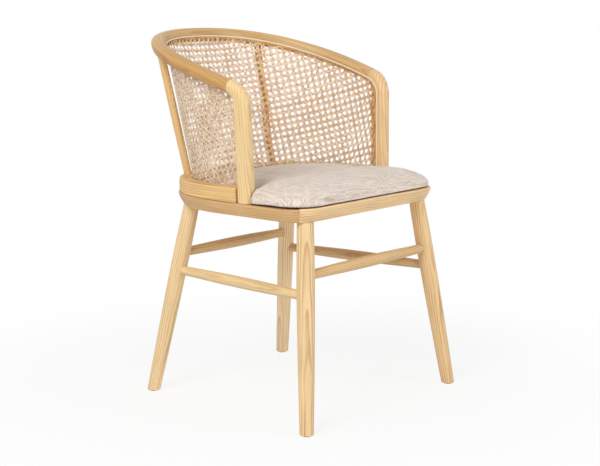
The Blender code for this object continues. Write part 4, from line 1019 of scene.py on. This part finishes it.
dress("seat_board", make_streaky("plywood_finish", object_place, (224, 190, 146), (200, 162, 118), 0.7,
                                 {"Seed": 3.0}))
raw_ash = make_streaky("raw_ash_finish", object_place, (238, 206, 156), (212, 172, 122), 0.7,
                       {"Seed": 8.0})


def make_mottled(name, first, second, roughness, metallic, scale):
    """A material with soft spots of a second colour, which are a little rougher."""
    finish, tree, shader = finish_named(name, roughness)
    shader.inputs["Metallic"].default_value = metallic
    spot = spots(tree, scale)
    feed(tree, shader.inputs["Base Color"], blend(tree, spot, srgb(*first), srgb(*second)))
    feed(tree, shader.inputs["Roughness"], math_node(tree, "MULTIPLY_ADD", spot, 0.2, roughness))
    return finish


zinc = make_mottled("zinc_finish", (196, 196, 192), (170, 170, 168), roughness=0.3, metallic=1.0,
                    scale=900.0)
nylon = make_mottled("nylon_finish", (92, 84, 74), (110, 100, 88), roughness=0.5, metallic=0.0,
                     scale=400.0)
finishes_out_of_sight = {"corner_block": raw_ash, "arm_dowel": raw_ash, "dowel": raw_ash,
                         "ring_tongue": raw_ash, "seat_screw": zinc, "glide": nylon}
for node in nodes:
    for start, finish in finishes_out_of_sight.items():
        if node.startswith(start):
            dress(node, finish)

# The seat pad. Foam on the board under a cover of slubby warm grey and cream linen,
# pulled tight round the edge and fixed underneath, so that it swells in its cover.
# Its two front ears lie in front of the arm posts.

PAD_VOXEL = 0.0048
PAD_DRAW_IN = 0.0020
PAD_SWELL_LIMIT = 0.0032
PAD_PRESSURE = 4.0
PAD_FRAMES = 20
PAD_SHADE_REACH = 0.014
DOWNWARD = -0.5
EAR_WIDTHS = (0.198, 0.216)
EAR_DEPTHS = (-0.165, -0.125)
EAR_OUT = 0.0035
EAR_BACK = 0.0055
WELD = 0.00005
NO_LENGTH = 1e-9
THREAD_LENGTH_SCALE = 30.0
THREAD_FALL_SCALE = 160.0
FINE_THREAD_SCALE = 900.0
SLUB_SCALE = 640.0
THREAD_DEPTH = 0.0006
THREAD_EDGE = (0.36, 0.64)
SLUB_EDGE = (0.38, 0.62)
LINEN_GREY = (208, 195, 183)
LINEN_CREAM = (248, 237, 226)
THREAD_SHADE = (228, 221, 214)
TUCK_SHADE_COLOUR = (128, 102, 82)


def pad_solid():
    """The pad's solid as one closed mesh."""
    source = bmesh.new()
    source.from_mesh(nodes["seat_cushion"].data)
    bmesh.ops.remove_doubles(source, verts=source.verts, dist=WELD)
    mesh = bpy.data.meshes.new("seat_pad")
    source.to_mesh(mesh)
    source.free()
    return mesh


def apply_modifiers(piece):
    """Makes what a piece's modifiers show its own mesh, and takes them off."""
    depsgraph = bpy.context.evaluated_depsgraph_get()
    mesh = bpy.data.meshes.new_from_object(piece.evaluated_get(depsgraph))
    piece.modifiers.clear()
    piece.data = mesh


def eased(value, low, high):
    """0 below the low value, 1 above the high one, and a soft step between them."""
    share = min(max((value - low) / (high - low), 0.0), 1.0)
    return share * share * (3 - 2 * share)


pad = put_in_scene("seat_pad", pad_solid())
remesh = pad.modifiers.new("even_quads", "REMESH")
remesh.mode = "VOXEL"
remesh.voxel_size = PAD_VOXEL
remesh.use_smooth_shade = True
apply_modifiers(pad)

underside = {vertex.index for vertex in pad.data.vertices if vertex.normal.z < DOWNWARD}
fixed = pad.vertex_groups.new(name="fixed_underneath")
fixed.add(sorted(underside), 1.0, "REPLACE")
for vertex, outward in [(vertex, vertex.normal.copy()) for vertex in pad.data.vertices]:
    if vertex.index not in underside:
        vertex.co -= outward * PAD_DRAW_IN
    ear = eased(abs(vertex.co.x), *EAR_WIDTHS) * eased(vertex.co.y, *EAR_DEPTHS)
    vertex.co.x += math.copysign(EAR_OUT * ear, vertex.co.x)
    vertex.co.y += EAR_BACK * ear


def swell(piece):
    """Lets the cover swell over its foam, no further than the limit from where it starts."""
    start = np.array([vertex.co for vertex in piece.data.vertices])
    cloth = piece.modifiers.new("cover", "CLOTH")
    cloth.settings.use_pressure = True
    cloth.settings.uniform_pressure_force = PAD_PRESSURE
    cloth.settings.vertex_group_mass = "fixed_underneath"
    cloth.settings.effector_weights.gravity = 0.0
    for moment in range(1, PAD_FRAMES + 1):
        scene.frame_set(moment)
    apply_modifiers(piece)
    scene.frame_set(1)
    moved = np.array([vertex.co for vertex in piece.data.vertices]) - start
    far = np.linalg.norm(moved, axis=1, keepdims=True)
    moved *= np.minimum(1.0, PAD_SWELL_LIMIT / np.maximum(far, NO_LENGTH))
    piece.data.vertices.foreach_set("co", (start + moved).ravel())
    piece.data.update()


swell(pad)
smooth = pad.modifiers.new("fine_cover", "SUBSURF")
smooth.levels = smooth.render_levels = 1
apply_modifiers(pad)
pad.data.shade_smooth()


def make_linen_finish():
    """Warm grey linen: threads both ways with thicker, paler slubs, and painted shade where it tucks under
    and near the web.

    The threads run across the seat and from front to back, and turn down over its edge.
    """
    finish, tree, shader = finish_named("linen_finish", 0.9)
    x, y, z = split(tree, object_place(tree))

    def threads(fineness):
        """Noise drawn out into threads, both ways."""
        fall = math_node(tree, "MULTIPLY", z, THREAD_FALL_SCALE)
        return [noise(tree, joined(tree, math_node(tree, "MULTIPLY", along, THREAD_LENGTH_SCALE),
                                   math_node(tree, "MULTIPLY", across, fineness), fall), roughness=0.6)
                for along, across in ((x, y), (y, x))]

    def halfway(both):
        """The mean of the threads of both ways."""
        return math_node(tree, "MULTIPLY", math_node(tree, "ADD", *both), 0.5)

    fine, slubs = threads(FINE_THREAD_SCALE), threads(SLUB_SCALE)
    colour = blend(tree, ramp(tree, halfway(slubs), *SLUB_EDGE), srgb(*LINEN_GREY), srgb(*LINEN_CREAM))
    tone = blend(tree, ramp(tree, halfway(fine), *THREAD_EDGE), srgb(*THREAD_SHADE), WHITE)
    colour = blend(tree, 1.0, colour, tone, "MULTIPLY")
    colour = with_painted_shade(tree, colour, TUCK_SHADE_COLOUR, PAD_SHADE_REACH, open_share=0.66, deep_share=0.20)
    feed(tree, shader.inputs["Base Color"], colour)
    shader.inputs["Sheen Weight"].default_value = 0.25
    shader.inputs["Sheen Roughness"].default_value = 0.5
    add_bump(tree, shader, math_node(tree, "MAXIMUM", *fine), strength=0.5, depth=THREAD_DEPTH)
    return finish


pad.data.materials.clear()
pad.data.materials.append(make_linen_finish())
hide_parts("seat_cushion")
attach(pad, "root")
